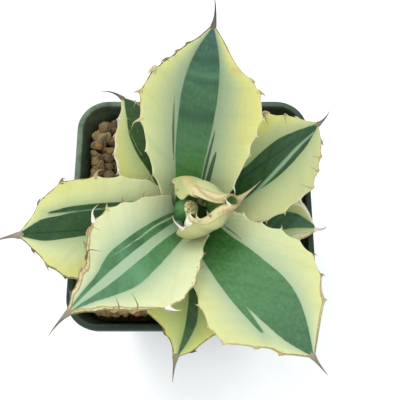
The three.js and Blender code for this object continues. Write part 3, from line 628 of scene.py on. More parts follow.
        right=[11, 14, 16, 18.3, 16.5, 9, 6, 3, 1],
        teeth={LEFT: [0.24, 0.33, 0.53, 0.9], RIGHT: [0.24, 0.36, 0.68, 0.92]},
        claws=[(RIGHT, 0.45, 2.2, -14, 43, 0.4, 1.3), (RIGHT, 0.55, 5.8, -50, 35, 0),
               (RIGHT, 0.623, 6.6, -18, 137, 0.5, 0.8), (RIGHT, 0.683, 4.4, 10, 132, 0.55, 0.8),
               (RIGHT, 0.722, 7.4, -26, 136, 0.8, 0.8), (RIGHT, 0.8, 5.5, -12, 160, 0.45, 0.8),
               (LEFT, 0.42, 1.8, -20, 95, 0.6), (LEFT, 0.612, 4.7, -12, 28, 0),
               (LEFT, 0.758, 8, -11, 127, 0.65), (LEFT, 0.824, 6.2, -12, 115, 0.65)],
        spine=dict(length=9.5, side=16, up=0, tint=0.6),
        green=[(0, 1, [-5, -6.2, -6.6, -6.9, -6.7, -6.1, -3.3, -1.9, -0.5],
                [3.6, 4.2, 5.6, 7, 8, 8.4, 6.3, 3, 0.2])],
        pale=[(0, 0.99, [-2.6, -2.4, -1.8, -1.1, -0.2], [0.6, 0.9, 1.8, 2, 0.2]),
              (0.08, 0.62, [-4.9, -5.2, -4.7, -5], [-4.1, -4.5, -4.2, -4.7])],
        bars=[(0.2, 0.05, 0.6), (0.42, 0.03, 0.4), (0.56, 0.05, -0.7), (0.8, 0.05, 0.4),
              (0.5, 0.3, 0.6, RIGHT), (0.62, 0.12, -0.35, LEFT)],
        dry=[(RIGHT, 0.5, 1, [0.2, 1.4, 1.9, 1.8, 1.2]), (LEFT, 0.62, 1, [0.2, 1.6, 1.6, 1.2])],
        rims={LEFT: ([0.25, 0.3, 0.35, 0.4], [0.3, 0.4, 0.6, 0.8]),
              RIGHT: ([0.25, 0.3, 0.35, 0.4], [0.35, 0.4, 0.7, 0.8])},
        yellow={LEFT: [0, 0.1, 0.2, 0.3], RIGHT: [0, 0.1, 0.3, 0.4]}, look="fresh",
    ),
]

# The youngest open leaf stands up and curls round the heart, its edges leaning in over it.
CUP_LEAF = dict(
    name="leaf_inner_cup", attach=86.5, heading=356, turn=30, length=18.5, thick=2, start=4.5,
    lift=[62, 52, 40], gutter=[5.3, 5, 6, 10, 36], left=[9, 18.5, 22.3, 21.6, 17.6, 14.8, 8.6, 3.8, 1],
    lobes=[(LEFT, 0.36, 0.5, 0.58, 0.84, 4.4)], right=[9, 17.8, 19.6, 18.2, 17.4, 13.2, 7.4, 3.6, 1],
    teeth={LEFT: [0.86], RIGHT: [0.72]},
    claws=[(LEFT, 0.24, 2.2, -30, 30, 0.7), (LEFT, 0.31, 2.8, 0, 20, 0.8), (LEFT, 0.44, 2.6, 0, 20, 0.6),
           (LEFT, 0.644, 6.6, -8, 170, 0.3, 0.7), (RIGHT, 0.364, 7.4, 32, -8, 0.05),
           (RIGHT, 0.481, 5.2, 43, 90, 0.1, 1.5), (RIGHT, 0.56, 3, 10, 40, 0.2, 1.4),
           (RIGHT, 0.63, 2.4, 15, 40, 0.35, 1.4), (RIGHT, 0.9, 3.2, 10, 0, 0.1)],
    spine=dict(length=10, side=20, up=-30, tint=0.4, grey=0.35),
    green=[(0, 1, [-9, -10, -9, -7, -1], [9, 10, 9, 7, 1])],
    dry=[(LEFT, 0.62, 1, [3, 4, 3.6, 2.6, 1.8]), (RIGHT, 0.3, 1, [0.6, 1.2, 2.6, 3.2, 2])],
    pale=[(0.3, 0.6, [20, 19.8, 20, 20.6], [34, 34, 34, 34])], bars=[(0.2, 0.12, -0.7)],
    husk=[(0.1, 0.64, [13.5, 15, 15.4, 15], [21, 20.6, 20, 19.2])],
    rust=[(0.77, 0.96, [-10, -6.9, -4.4, -2.8], [-7.2, -4.3, -1.9, -0.6]),
          (0.64, 0.94, [16.4, 14.6, 10.6, 6.3, 2.6], [17.6, 15.8, 11.8, 7.5, 3.8])],
    rims={LEFT: ([0.3, 0.25, 0.35, 0.4], [0.5, 0.3, 0.5, 0.7]), RIGHT: ([0.3, 0.3, 0.4], [0.1, 0.3, 0.7])},
    yellow={LEFT: [0.5, 0.6, 0.5], RIGHT: [0.7, 0.7, 0.5]}, look="young",
)

# Colours as they should look on screen, and how strongly or softly some of them show.
COMMON_LOOK = dict(
    cream=(204, 212, 160), yellow=(218, 214, 122), stripe=(160, 186, 148), root=(66, 106, 50),
    green=(58, 92, 58), tip=(54, 84, 64), light=(80, 118, 76), deep=(34, 64, 38), fleck=(170, 170, 130),
    wax=(160, 182, 164), strip=(236, 232, 218), dry=(222, 210, 160), husk=(180, 162, 108),
    straw=(212, 194, 128), rust=(150, 110, 72), brown=(140, 122, 80), under=(140, 158, 128),
    wash=(152, 174, 136),  # greyish green between the margins and the middle
    fade=2.2,  # how fast the wash fades away from the green
    bloom=0.05,  # how strongly the waxy bloom shows
    husky=0.9,  # how far the dry borders are streaked
    creased=0.4,  # how strongly the marks pressed across it show
    flecked=0.3,  # how strongly the small pale flecks show
    soft=0.12,  # mm over which the pale stripes fade at their edges
    rough=0.36,
)
# What differs on each leaf. The colours are matched to each leaf where it lies, so they are partly its own
# and partly painted light and shade.
LOOKS = dict(
    old=dict(
        green=(76, 122, 78), dry=(212, 208, 170), husk=(214, 206, 168), strip=(255, 255, 244),
        wash=(158, 174, 116), tip=(62, 98, 70), brown=(176, 166, 128),
    ),
    darkest=dict(
        green=(46, 76, 28), root=(46, 66, 24), tip=(52, 84, 48), light=(70, 102, 50), cream=(212, 220, 156),
        wash=(174, 190, 120),
    ),
    # this leaf's colours are raised as painted light, to make up for the shade it lies in
    shaded=dict(
        green=(80, 112, 68), tip=(74, 106, 66), cream=(222, 230, 146), yellow=(232, 226, 114),
        wash=(172, 190, 116), fade=1.8,
    ),
    dark=dict(
        green=(34, 74, 27), light=(49, 91, 41), root=(34, 66, 14), tip=(38, 77, 44), deep=(22, 53, 20),
        cream=(220, 226, 168), yellow=(222, 218, 126), wash=(166, 184, 132), stripe=(118, 152, 114), fade=3,
    ),
    olive=dict(
        green=(37, 77, 32), light=(54, 95, 46), root=(22, 60, 18), tip=(46, 76, 54), deep=(28, 56, 30),
        cream=(194, 198, 140), yellow=(238, 234, 100), wash=(156, 174, 122), stripe=(146, 174, 138),
        fade=2.4, soft=0.4,
    ),
    # lighter greens, partly this leaf's own and partly painted light and sheen where it catches the light
    light=dict(
        green=(78, 128, 76), light=(98, 146, 92), root=(42, 104, 10), tip=(60, 96, 78), deep=(56, 98, 54),
        creased=0.2, flecked=0.45, cream=(216, 222, 172), yellow=(220, 220, 138), wash=(166, 186, 148),
        fade=1.7,
    ),
    blue=dict(
        green=(62, 106, 66), light=(84, 128, 92), root=(74, 130, 40), tip=(56, 88, 86), deep=(38, 76, 50),
        wash=(131, 151, 119), cream=(202, 212, 156), yellow=(226, 222, 132), rust=(196, 172, 96),
        creased=0.25, fade=1.4,
    ),
    # lighter greens, partly this leaf's own and partly painted light and sheen where it catches the light
    fresh=dict(
        green=(80, 132, 84), light=(102, 152, 108), root=(82, 134, 60), tip=(88, 126, 98),
        deep=(56, 100, 58), stripe=(172, 196, 158), cream=(226, 230, 180), wash=(162, 186, 148), fade=1.8,
        creased=0.25, fleck=(196, 216, 190), flecked=0.5,
    ),
    # the cup's greens are partly its own and made much lighter as painted light on its shaded inside
    young=dict(
        green=(124, 170, 86), light=(146, 190, 102), cream=(206, 206, 146), yellow=(216, 206, 136),
        root=(92, 138, 56), stripe=(126, 156, 86), soft=1.2, dry=(228, 214, 160), husk=(200, 166, 102),
        straw=(210, 182, 116), rust=(144, 96, 62), husky=0.35, rough=0.42, under=(210, 210, 152),
        deep=(70, 116, 44),
    ),
)


class Leaf:
    """A leaf's surface by its share of the length and its offset from the midline."""

    def __init__(self, table):
        self.table = table
        self.name, self.length = table["name"], table["length"]
        self.points, self.forwards = self.centreline()

    def centreline(self):
        steps = 100
        share = np.linspace(0, 1, steps + 1)
        heading = np.radians(self.table["heading"] + self.table["turn"] * share**2)
        slope = np.radians(along(self.table["lift"], share))
        forward = np.stack(
            [np.cos(heading) * np.cos(slope), np.sin(heading) * np.cos(slope), np.sin(slope)], axis=1
        )
        start, first = self.table.get("start", 2), heading[0]
        root = level(*STEM_AXIS, start, first, self.table["attach"])
        steps_taken = np.cumsum(forward[:-1], axis=0) * self.length / steps
        return np.vstack([root, root + steps_taken]), forward

    def frame(self, share):
        place = np.clip(share, 0, 1) * (len(self.points) - 1)
        i = np.minimum(np.floor(place).astype(int), len(self.points) - 2)
        between = (place - i)[..., None]
        point = self.points[i] * (1 - between) + self.points[i + 1] * between
        forward = unit(self.forwards[i] * (1 - between) + self.forwards[i + 1] * between)
        left = unit(np.cross([0, 0, 1.0], forward))
        return point, forward, left, np.cross(forward, left)

    def surface(self, share, offset):
        """Points of the upper face, with the face's own forward, left and up directions there."""
        point, forward, left, up = self.frame(np.asarray(share, float))
        curl = 2 * along(self.table["gutter"], share) / 100
        turn = (curl * offset)[..., None]
        curl = curl[..., None]
        point = point + left * np.sin(turn) / curl + up * (1 - np.cos(turn)) / curl
        along_face = left * np.cos(turn) + up * np.sin(turn)
        return point, forward, along_face, up * np.cos(turn) - left * np.sin(turn)

    def teeth_on(self, side):
        return self.table["teeth"][side] + [claw[1] for claw in self.table["claws"] if claw[0] == side]

    def half_width(self, side, share):
        half = smooth(STATIONS, self.table["left" if side == LEFT else "right"], share)
        for at in self.teeth_on(side):
            half = half + KNOB["height"] * np.exp(-(((share - at) * self.length / KNOB["spread"]) ** 2))
        for where, start, full, full_end, end, size in self.table.get("lobes", []):
            if where == side:
                half = half + size * ease(start, full, share) * (1 - ease(full_end, end, share))
        return half

    def thickness(self, share, across):
        middle = self.table["thick"] * (1 - 0.6 * share)
        return BLADE_EDGE + np.maximum(middle - BLADE_EDGE, 0) * (1 - across**2)


def band_field(leaf, share, offset, band):
    start, stop, right, left = band
    u = np.clip((share - start) / (stop - start), 0, 1)
    inside = np.minimum(offset - along(right, u), along(left, u) - offset)
    if start > 0:
        inside = np.minimum(inside, (share - start) * leaf.length * 0.3)
    if stop < 1:
        inside = np.minimum(inside, (stop - share) * leaf.length * 0.3)
    return inside


def line_field(leaf, share, offset, line):
    start, stop, curve, width = line
    u = (share - start) / (stop - start)
    half = width / 2 * np.sqrt(np.clip(4 * u * (1 - u), 0, 1))
    away = np.abs(offset - along(curve, np.clip(u, 0, 1)))
    return np.where((u > 0) & (u < 1), half - away, -1.0)


def border_field(leaf, share, offset, border):
    side, start, stop, widths = border
    u = (share - start) / (stop - start)
    from_edge = leaf.half_width(side, share) - side * offset
    width = along(widths, np.clip(u, 0, 1)) * ease(0, 0.08, u) * ease(1.02, 0.98, u)
    return np.where((u > 0) & (u < 1.02) & (side * offset > 0), width - from_edge, -2.0)


def bar_field(share, offset, at, spread, depth, side=None):
    """A soft mark across the middle: (share, spread, depth), and a fourth value keeps it to one side."""
    bowed = share - 0.0003 * offset**2
    on_side = ease(0, 1.5, side * offset) if side else 1.0
    return depth * on_side * np.exp(-(((bowed - at) / spread) ** 2))


def markings(leaf, share, offset):
    """The fields that the leaf's material reads."""
    table = leaf.table
    far = np.full(share.shape, FAR_OUTSIDE)

    def union(field_of, kind):
        marks = table.get(kind, [])
        return np.maximum.reduce([far, *(field_of(leaf, share, offset, mark) for mark in marks)])

    def by_side(left, right):
        return np.where(offset > 0, along(left, share), along(right, share))

    half = np.where(offset > 0, leaf.half_width(LEFT, share), leaf.half_width(RIGHT, share))
    from_edge = half - np.abs(offset)
    (left_rim, left_tint), (right_rim, right_tint) = table["rims"][LEFT], table["rims"][RIGHT]
    yellow = by_side(table["yellow"][LEFT], table["yellow"][RIGHT])
    green = union(band_field, "green")
    outside = np.maximum(-green, 0)
    return {
        "across": offset + chance(len(leaf.name), 3) * 40,
        "ahead": share * leaf.length + chance(int(table["heading"]), 4) * 200,
        "share": share,
        "green": green,
        "margin": outside / (outside + np.maximum(from_edge, 0) + 0.01),
        "bar": sum((bar_field(share, offset, *bar) for bar in table.get("bars", [])), 0 * share),
        "pale": union(band_field, "pale"),
        "dark": union(line_field, "dark"),
        "dry": union(border_field, "dry"),
        "husk": union(band_field, "husk"),
        "rust": union(band_field, "rust"),
        "white": union(border_field, "white"),
        "rim": by_side(left_rim, right_rim) - from_edge,
        "rim_tint": by_side(left_tint, right_tint),
        "yellow": yellow * ease(0.25, 0.9, np.abs(offset) / half),
    }


def blade(leaf, shells):
    """The blade: an upper and a lower face joined by a rounded edge, over closely spaced rows."""
    rows = int((1 - ROOT_SHARE) * leaf.length / ROW_STEP)
    share = np.linspace(ROOT_SHARE, 1, rows)[:, None]
    across = np.linspace(-1, 1, COLUMNS + 1)[None, :]
    radius = BLADE_EDGE / 2
    halves = np.where(across > 0, leaf.half_width(LEFT, share), leaf.half_width(RIGHT, share))
    offset = across * (halves - radius)
    share_grid = np.broadcast_to(share, offset.shape)
    top, _, _, up = leaf.surface(share_grid, offset)
    bottom = top - up * leaf.thickness(share_grid, across)[..., None]

    def rounded(side):
        """Points round one edge, from the upper face to the lower one."""
        half = leaf.half_width(side, share[:, 0]) - radius
        edge, _, left, over = leaf.surface(share[:, 0], side * half)
        centre = edge - over * radius
        rings, offsets = [], []
        for degrees in ROUND:
            angle = math.radians(degrees)
            rings.append(centre + left * side * radius * math.cos(angle) + over * radius * math.sin(angle))
            offsets.append(side * (half + radius * math.cos(angle)))
        return np.stack(rings, axis=1), np.stack(offsets, axis=1)

    left_points, left_offsets = rounded(LEFT)
    right_points, right_offsets = rounded(RIGHT)
    points = np.concatenate([top, left_points, bottom[:, ::-1], right_points[:, ::-1]], axis=1)
    offsets = np.concatenate([offset, left_offsets, offset[:, ::-1], right_offsets[:, ::-1]], axis=1)
    down = np.linspace(0.2, 0.8, len(ROUND))
    under = np.concatenate([np.zeros(COLUMNS + 1), down, np.ones(COLUMNS + 1), down[::-1]])
    fields = markings(leaf, np.broadcast_to(share, offsets.shape).ravel(), offsets.ravel())
    fields["under"] = np.broadcast_to(under, offsets.shape).ravel()
    shells.add(points, tube_faces(rows, points.shape[1]), 0, **fields)


def tooth(leaf, shells, side, share, reach, lean, rise, tint, girth=1.0):
    """One hooked tooth of a leaf's edge, broad along the edge and thin across it."""
    half = float(leaf.half_width(side, share))
    point, forward, left, up = leaf.surface(share, np.float64(side * half))
    out = left * side

    def aim(leaning, rising):
        tilt, climb = math.radians(leaning), math.radians(rising)
        return unit(out * math.cos(tilt) * math.cos(climb) + forward * math.sin(tilt)
                    + up * math.cos(tilt) * math.sin(climb))

    edge = point - up * BLADE_EDGE / 2
    root = edge - out * TOOTH["sunk"]
    bend = edge + aim(lean * 0.5, rise * 0.6) * reach * 0.5
    tip = bend + aim(lean * 1.4, rise * 1.2) * reach * 0.55
    path, t = through([root, edge, bend, tip], [0, 0.25, 0.62, 1], 12)
    size = girth * TOOTH["radius"] * min(1.15, max(0.75, reach / 4))
    radii = size * smooth([0, 0.22, 0.4, 0.7, 0.9, 1], [1.2, 0.95, 0.6, 0.34, 0.16, 0.04], t)
    sides = 10
    rings = spike(path, radii, sides, wide=smooth([0, 0.3, 0.6, 1], [2.2, 1.8, 1.2, 1.0], t), side=forward)
    shells.add(rings, tube_faces(len(t), sides), 1, reach=np.repeat(t, sides), tint=tint, grey=0)


def spine(leaf, shells):
    """The long hard spine that ends a leaf, its sides running back a little way along the blade."""
    look = leaf.table["spine"]
    point, forward, left, up = leaf.frame(np.float64(1.0))
    first_side = look.get("start_side", 0)
    steps, samples, sides = 5, 26, 12
    path = [point - forward * 2.5 - up * 0.7]
    here = point - up * 0.6
    for k in range(steps + 1):
        path.append(here)
        sideways = math.radians(first_side + (look["side"] - first_side) * k / steps)
        upward = math.radians(look["up"] * k / steps)
        ahead = forward * math.cos(sideways) + left * math.sin(sideways)
        here = here + (look["length"] / steps) * (ahead * math.cos(upward) + up * math.sin(upward))
    places = [0] + list(np.linspace(0.2, 1, steps + 1))
    line, t = through(path, places, samples)
    radii = look.get("girth", 1) * smooth([0, 0.2, 0.36, 0.6, 0.8, 1], [0.2, 0.82, 0.6, 0.34, 0.2, 0.05], t)
    rings = spike(line, radii, sides, wide=smooth([0, 0.25, 0.5, 1], [1.3, 1.35, 1.1, 1], t), side=left)
    shells.add(rings, tube_faces(samples, sides), 1, reach=np.repeat(t, sides), tint=look["tint"],
               grey=look.get("grey", 1))


def grow_leaf(table, seed, horn):
    leaf = Leaf(table)
    shells = Shells()
    blade(leaf, shells)
    for side in (LEFT, RIGHT):
        for k, share in enumerate(table["teeth"][side]):
            vary = [chance(k * 3 + n + side * 50, seed, -1, 1) for n in range(3)]
            tint = float(along(table["rims"][side][1], share)) + 0.15 + 0.2 * vary[0]
            tooth(leaf, shells, side, share, TOOTH["reach"] * (1 + 0.3 * vary[0]),
                  TOOTH["lean"] + TOOTH["spread"] * vary[1], TOOTH["rise"] + TOOTH["spread"] * vary[2], tint)
    for claw in table["claws"]:
        tooth(leaf, shells, *claw)
    spine(leaf, shells)
    given = {**COMMON_LOOK, **LOOKS[table["look"]]}
    look = {key: tone(*value) if isinstance(value, tuple) else value for key, value in given.items()}
    obj = shells.build("fine_" + leaf.name, [leaf_material(leaf.name + "_skin", look), horn])
    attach(obj, "root")
    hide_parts(leaf.name)


# ---------------------------------------------------------------- heart

# The heart: a green unopened leaf bulging on the left, pressed against a pale cone whose sheet is
# wound round itself. Rings are (height, centre x, centre y, radius).
WRAP = [(86.8, -2.1, -4.2, 3.1), (89.5, -2.3, -4.1, 3.8), (92, -2.3, -4.1, 4.0), (94, -2.1, -4.2, 3.6),
        (95.6, -1.8, -4.4, 2.7), (96.6, -1.5, -4.6, 1.5), (96.9, -1.4, -4.7, 0.3)]
CONE = {"centre": (-0.4, -4.3), "lean": (0.2, -0.3), "foot": 88, "top": 97.6, "rise": 1.5,
        "outer": 4.1, "inner": 0.5, "turns": 2.2, "sheet": 0.5, "from": 300}
CONE_TEETH = {"count": 7, "first": 0.02, "step": 0.075, "high": 0.93, "length": 1.0}


def cone_point(u, v, inset=0.0):
    """A point of the wound sheet: u runs along the winding and v from the foot to the free edge."""
    angle = np.radians(CONE["from"]) - 2 * np.pi * CONE["turns"] * u - 0.8 * v
    swell = smooth([0, 0.3, 0.6, 0.82, 1], [0.92, 1.0, 0.96, 0.74, 0.42], v)
    reach = np.maximum((CONE["outer"] + (CONE["inner"] - CONE["outer"]) * u**0.9) * swell - inset, 0.02)
    ruffle = 0.12 * v**3 * np.sin(angle * 9)
    height = CONE["foot"] + v * (CONE["top"] - CONE["foot"] + CONE["rise"] * u) + ruffle
    x, y = (CONE["centre"][k] + CONE["lean"][k] * v for k in (0, 1))
    return level(x, y, reach, angle, height), angle


def make_bud(horn):
    shells = Shells()
    around = 64
    heights = np.linspace(WRAP[0][0], WRAP[-1][0], 40)
    knots = np.array(WRAP)
    x, y, r = (smooth(knots[:, 0], knots[:, k], heights)[:, None] for k in (1, 2, 3))
    angles = np.linspace(0, 2 * math.pi, around, endpoint=False)
    wrap = level(x, y, r, angles[None, :], heights[:, None])
    top = np.repeat((heights - heights[0]) / (heights[-1] - heights[0]), around)
    shells.add(wrap, tube_faces(len(heights), around), 0, top=top, wound=0.0,
               turn=np.tile(angles, len(heights)))

    steps, rows = 150, 24
    u, v = np.meshgrid(np.linspace(0, 1, steps), np.linspace(0, 1, rows), indexing="ij")
    outside, angle = cone_point(u, v)
    inside, _ = cone_point(u, v, CONE["sheet"])
    points = np.concatenate([outside, inside[:, ::-1]], axis=1)
    top, wound, turn = (np.concatenate([a, a[:, ::-1]], axis=1).ravel() for a in (v, 0.3 + 0.7 * u, angle))
    shells.add(points, tube_faces(steps, 2 * rows), 0, top=top, wound=wound, turn=turn)

    up = np.array([0, 0, 1])
    for k in range(CONE_TEETH["count"]):
        place = CONE_TEETH["first"] + CONE_TEETH["step"] * k
        root, a = cone_point(np.float64(place), np.float64(CONE_TEETH["high"]))
        out = np.array([math.cos(a), math.sin(a), 0])
        aside = np.array([math.sin(a), -math.cos(a), 0])
        long = CONE_TEETH["length"] * chance(k, 8, 0.7, 1.3)
        bend = root + (0.3 * out + 0.3 * up) * long
        tip = root + (0.6 * out + 0.5 * aside + 0.55 * up) * long
        path, t = through([root - out * 0.3, bend, tip], [0, 0.5, 1], 9)
        rings = spike(path, 0.34 * (1.05 - t), 8)
        shells.add(rings, tube_faces(9, 8), 1, reach=np.repeat(t, 8), tint=chance(k, 9, 0.3, 0.7), grey=0)
    obj = shells.build("fine_heart_bud", [heart_material(), horn])
    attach(obj, "root")
    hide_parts("heart_bud")


# ---------------------------------------------------------------- stem

STEM = [(44, 4.5), (52, 6.2), (66, 6.6), (80, 6.2), (88.5, 3.9)]  # height, radius
ROOTS = {"count": 6, "start": 52, "length": 30, "fall": 34, "radius": 1.5, "seed": 5}


def make_stem():
    shells = Shells()
    rows, around = 90, 48
    height = np.linspace(STEM[0][0], STEM[-1][0], rows)
    radius = smooth([h for h, _ in STEM], [r for _, r in STEM], height)
    angles = np.linspace(0, 2 * math.pi, around, endpoint=False)[None, :]
    scars = 0.16 * np.sin(height[:, None] * 1.9 + 1.2 * np.sin(angles * 2)) - 0.16
    points = level(*STEM_AXIS, radius[:, None] + scars, angles, height[:, None])
    shells.add(points, tube_faces(rows, around), 0, height=np.repeat(height, around))
    for k in range(ROOTS["count"]):
        heading = 2 * math.pi * (k + chance(k, ROOTS["seed"], 0, 0.3)) / ROOTS["count"]
        fall = math.radians(ROOTS["fall"] * chance(k + 20, ROOTS["seed"], 0.7, 1.3))
        length = ROOTS["length"] * chance(k + 40, ROOTS["seed"], 0.75, 1.0)
        t = np.linspace(0.08, 1, 24)
        out = length * t * np.cos(fall * t)
        path = level(*STEM_AXIS, out, heading, ROOTS["start"] - length * t * np.sin(fall * t))
        radii = ROOTS["radius"] * smooth([0, 0.35, 0.7, 1], [1.25, 0.98, 0.78, 0.28], t)
        shells.add(spike(path, radii, 12), tube_faces(24, 12), 0, height=np.repeat(path[:, 2], 12))
    obj = shells.build("fine_stem", [stem_material()])
    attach(obj, "root")
    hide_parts("stem")


# ---------------------------------------------------------------- pot

POT = {"height": 80, "rim_half": 45, "rim_corner": 12, "lip_width": 2.4, "lip_depth": 6, "lip_step": 1.5,
       "foot_half": 31.5, "foot_corner": 9, "wall": 1.4, "floor": 2}
ROUNDED = {"foot": 1.6, "lip": 0.5, "outer": 0.8, "inner": 0.5}  # radii of its rounded edges
DRAIN = {"slots": 8, "radius": 20, "length": 12, "width": 4}
CORNER_STEPS, SIDE_STEPS = 18, 16


def wall_half(z):
    return POT["foot_half"] + (POT["rim_half"] - POT["lip_step"] - POT["foot_half"]) * z / POT["height"]


def wall_corner(z):
    top = POT["rim_corner"] - POT["lip_step"]
    return POT["foot_corner"] + (top - POT["foot_corner"]) * z / POT["height"]


def square_ring(half, corner, z):
    """A level square outline with round corners and evenly divided sides."""
    ring = []
    for quarter in range(4):
        turn = math.pi / 2 * quarter
        centre = np.array([half - corner, half - corner])
        arc = np.linspace(0, math.pi / 2, CORNER_STEPS + 1)
        local = [centre + corner * np.array([math.cos(a), math.sin(a)]) for a in arc]
        end = np.array([-(half - corner), half])
        local += [local[-1] + (end - local[-1]) * k / SIDE_STEPS for k in range(1, SIDE_STEPS)]
        c, s = math.cos(turn), math.sin(turn)
        ring += [(c * x - s * y, s * x + c * y, z) for x, y in local]
    return ring


def pot_profile():
    """Outline of the wall from the foot's edge up the outside, over the lip and down the inside:
    half-width, corner radius, height, how much paler the plastic is there from wear and a painted highlight,
    and how dusty it is."""
    top, wall, floor = POT["height"], POT["wall"], POT["floor"]
    rim, corner = POT["rim_half"], POT["rim_corner"]
    inner, inner_corner = rim - POT["lip_width"], corner - POT["lip_width"]
    lip_low = top - POT["lip_depth"]
    profile = []

    def add(half, radius, back, z, worn_and_lit, dusty):
        profile.append((half - back, radius - back, z, worn_and_lit, dusty))

    size = ROUNDED["foot"]
    for a in np.radians([0, 30, 60, 90]):
        back = size * (1 - math.sin(a))
        add(POT["foot_half"], POT["foot_corner"], back, size * (1 - math.cos(a)), 0.5, 0.3)
    for z in np.linspace(6, lip_low - 0.6, 14):
        add(wall_half(z), wall_corner(z), 0, z, 0.1, 0.1)
    add(wall_half(lip_low), wall_corner(lip_low), 0, lip_low - 0.15, 0.1, 0.3)
    size = ROUNDED["lip"]
    for a in np.radians([0, 45, 90]):  # lower edge of the lip
        back = size * (1 - math.sin(a))
        add(rim - 0.35, corner - 0.35, back, lip_low + size * (1 - math.cos(a)), 0.7, 0.1)
    add(rim, corner, 0.1, top - 2.2, 0.3, 0.1)
    size = ROUNDED["outer"]
    for a in np.radians(np.linspace(0, 90, 6)):  # upper outer edge
        add(rim, corner, size * (1 - math.cos(a)), top - size * (1 - math.sin(a)), 1.0, 0.1)
    size = ROUNDED["inner"]
    for a in np.radians(np.linspace(0, 90, 5)):  # upper inner edge
        back = size * (math.sin(a) - 1)
        add(inner, inner_corner, back, top - size * (1 - math.cos(a)), 0.9, 0.2)
    add(inner, inner_corner, 0, top - 3, 0.2, 1.0)
    step_down = lip_low - 1
    add(wall_half(lip_low), wall_corner(lip_low), wall, step_down, 0.1, 1.0)
    for z in np.linspace(step_down - 2, floor + 1, 12):
        add(wall_half(z), wall_corner(z), wall, z, 0.0, 1.0)
    add(wall_half(floor), wall_corner(0), wall + 1, floor, 0.0, 1.0)
    return profile


def drain_cutter():
    """Round-ended slots through the floor, set in a ring round its flat middle."""
    shells = Shells()
    arc = np.linspace(-math.pi / 2, math.pi / 2, 13)
    half = DRAIN["length"] / 2 - DRAIN["width"] / 2
    outline = [(half + DRAIN["width"] / 2 * math.cos(a), DRAIN["width"] / 2 * math.sin(a)) for a in arc]
    outline += [(-x, -y) for x, y in outline]
    for k in range(DRAIN["slots"]):
        turn = 2 * math.pi * k / DRAIN["slots"]
        c, s = math.cos(turn), math.sin(turn)
        ring = [(c * (x + DRAIN["radius"]) - s * y, s * (x + DRAIN["radius"]) + c * y) for x, y in outline]
        points = [(x, y, z) for z in (-1, POT["floor"] + 1) for x, y in ring]
        shells.add(points, tube_faces(2, len(ring)))
    return shells.build("drain_cutter", [])


def make_pot():
    profile = pot_profile()
    rings = np.array([square_ring(half, corner, z) for half, corner, z, _, _ in profile])
    around = rings.shape[1]
    wear, dust = (np.repeat([p[k] for p in profile], around).reshape(len(rings), around) for k in (3, 4))
    x, y = rings[..., 0], rings[..., 1]
    lit_back_left = ease(-25, 10, y) * ease(-20, 40, y - x)  # wear and painted highlight, most at the back left where the light falls on the lip
    dusty = 0.15 + 0.85 * ease(30, 38, -x)
    shells = Shells()
    shells.add(rings, tube_faces(len(rings), around), 0, wear=(wear * lit_back_left).ravel(),
               dust=(dust * dusty).ravel())
    obj = shells.build("fine_pot", [plastic_material()])
    cutter = drain_cutter()
    cut = obj.modifiers.new("drain", "BOOLEAN")
    cut.operation, cut.solver, cut.object = "DIFFERENCE", "EXACT", cutter
    bpy.context.view_layer.update()
    cut_mesh = bpy.data.meshes.new_from_object(obj.evaluated_get(bpy.context.evaluated_depsgraph_get()))
    obj.modifiers.clear()
    obj.data = cut_mesh
    bpy.data.objects.remove(cutter)
    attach(obj, "root")
    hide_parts("pot")


# ---------------------------------------------------------------- gravel

SOIL_LEVEL = 65.6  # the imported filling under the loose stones
# Layers of stones from the lowest up: mm between their centres, least and most radius, height of the
# centres and how far it varies, how finely each stone is divided, and the seed of its draws.
STONES = [
    dict(spacing=5.4, least=1.9, most=2.9, height=65.4, spread=0.8, detail=2, seed=21),
    dict(spacing=4.8, least=1.8, most=2.7, height=66.8, spread=0.6, detail=2, seed=47),
    dict(spacing=5.0, least=1.9, most=2.9, height=67.4, spread=0.8, detail=3, seed=34),
]
EDGE = dict(per_side=19, least=1.7, most=2.4, height=67.4, spread=0.9, seed=71)  # along the walls
GRIT = dict(count=700, least=0.4, most=1.0, height=66.2, spread=1.6, seed=55)
HEAP = {"left": 8, "front": 10, "right": 1.8, "back": 0.4}  # how much higher the stones lie there
HEAP_WIDTH = 15
WALL_GAP = 0.4
STONE_CORNER, GRIT_CORNER = 7, 8  # radii of the pot's corners for the stones' centres
CUTS = 12  # flat sides broken on each stone


def ball(level):
    mesh = bmesh.new()
    bmesh.ops.create_icosphere(mesh, subdivisions=level, radius=1.0)
    points = np.array([v.co for v in mesh.verts])
    faces = [tuple(v.index for v in f.verts) for f in mesh.faces]
    mesh.free()
    return points, faces


def broken_stone(points, key, seed):
    """A rough angular stone: a ball with flat sides broken off it."""
    for k in range(CUTS):
        a = chance(key * 31 + k, seed, 0, 2 * math.pi)
        c = chance(key * 17 + k, seed + 1, -1, 1)
        s = math.sqrt(1 - c * c)
        normal = np.array([s * math.cos(a), s * math.sin(a), c])
        depth = chance(key * 7 + k, seed + 2, 0.62, 0.92)
        points = points - np.maximum(points @ normal - depth, 0)[:, None] * normal
    rough = 1 + 0.05 * (draw(np.arange(len(points)) + key * 500, seed + 3)[:, None] - 0.5)
    stretch = [chance(key * 5 + axis, seed + 4, 0.85, 1.25) for axis in range(3)]
    spin = Matrix.Rotation(chance(key, seed + 5, 0, 2 * math.pi), 3, "Z")
    tilt = Matrix.Rotation(chance(key, seed + 6, 0, 2 * math.pi), 3, "X")
    return (points * rough * stretch) @ np.array(spin @ tilt).T


def heap(reach, x, y, size):
    """How much higher a stone lies near the pot's walls."""
    toward = {"left": -x, "front": -y, "right": x, "back": y}
    return max(HEAP[side] * float(ease(reach - HEAP_WIDTH, reach, toward[side] + size)) for side in toward)


def inside_reach(kind, gap):
    """How far the stones of a kind may reach from the middle."""
    return wall_half(kind["height"]) - POT["wall"] - gap


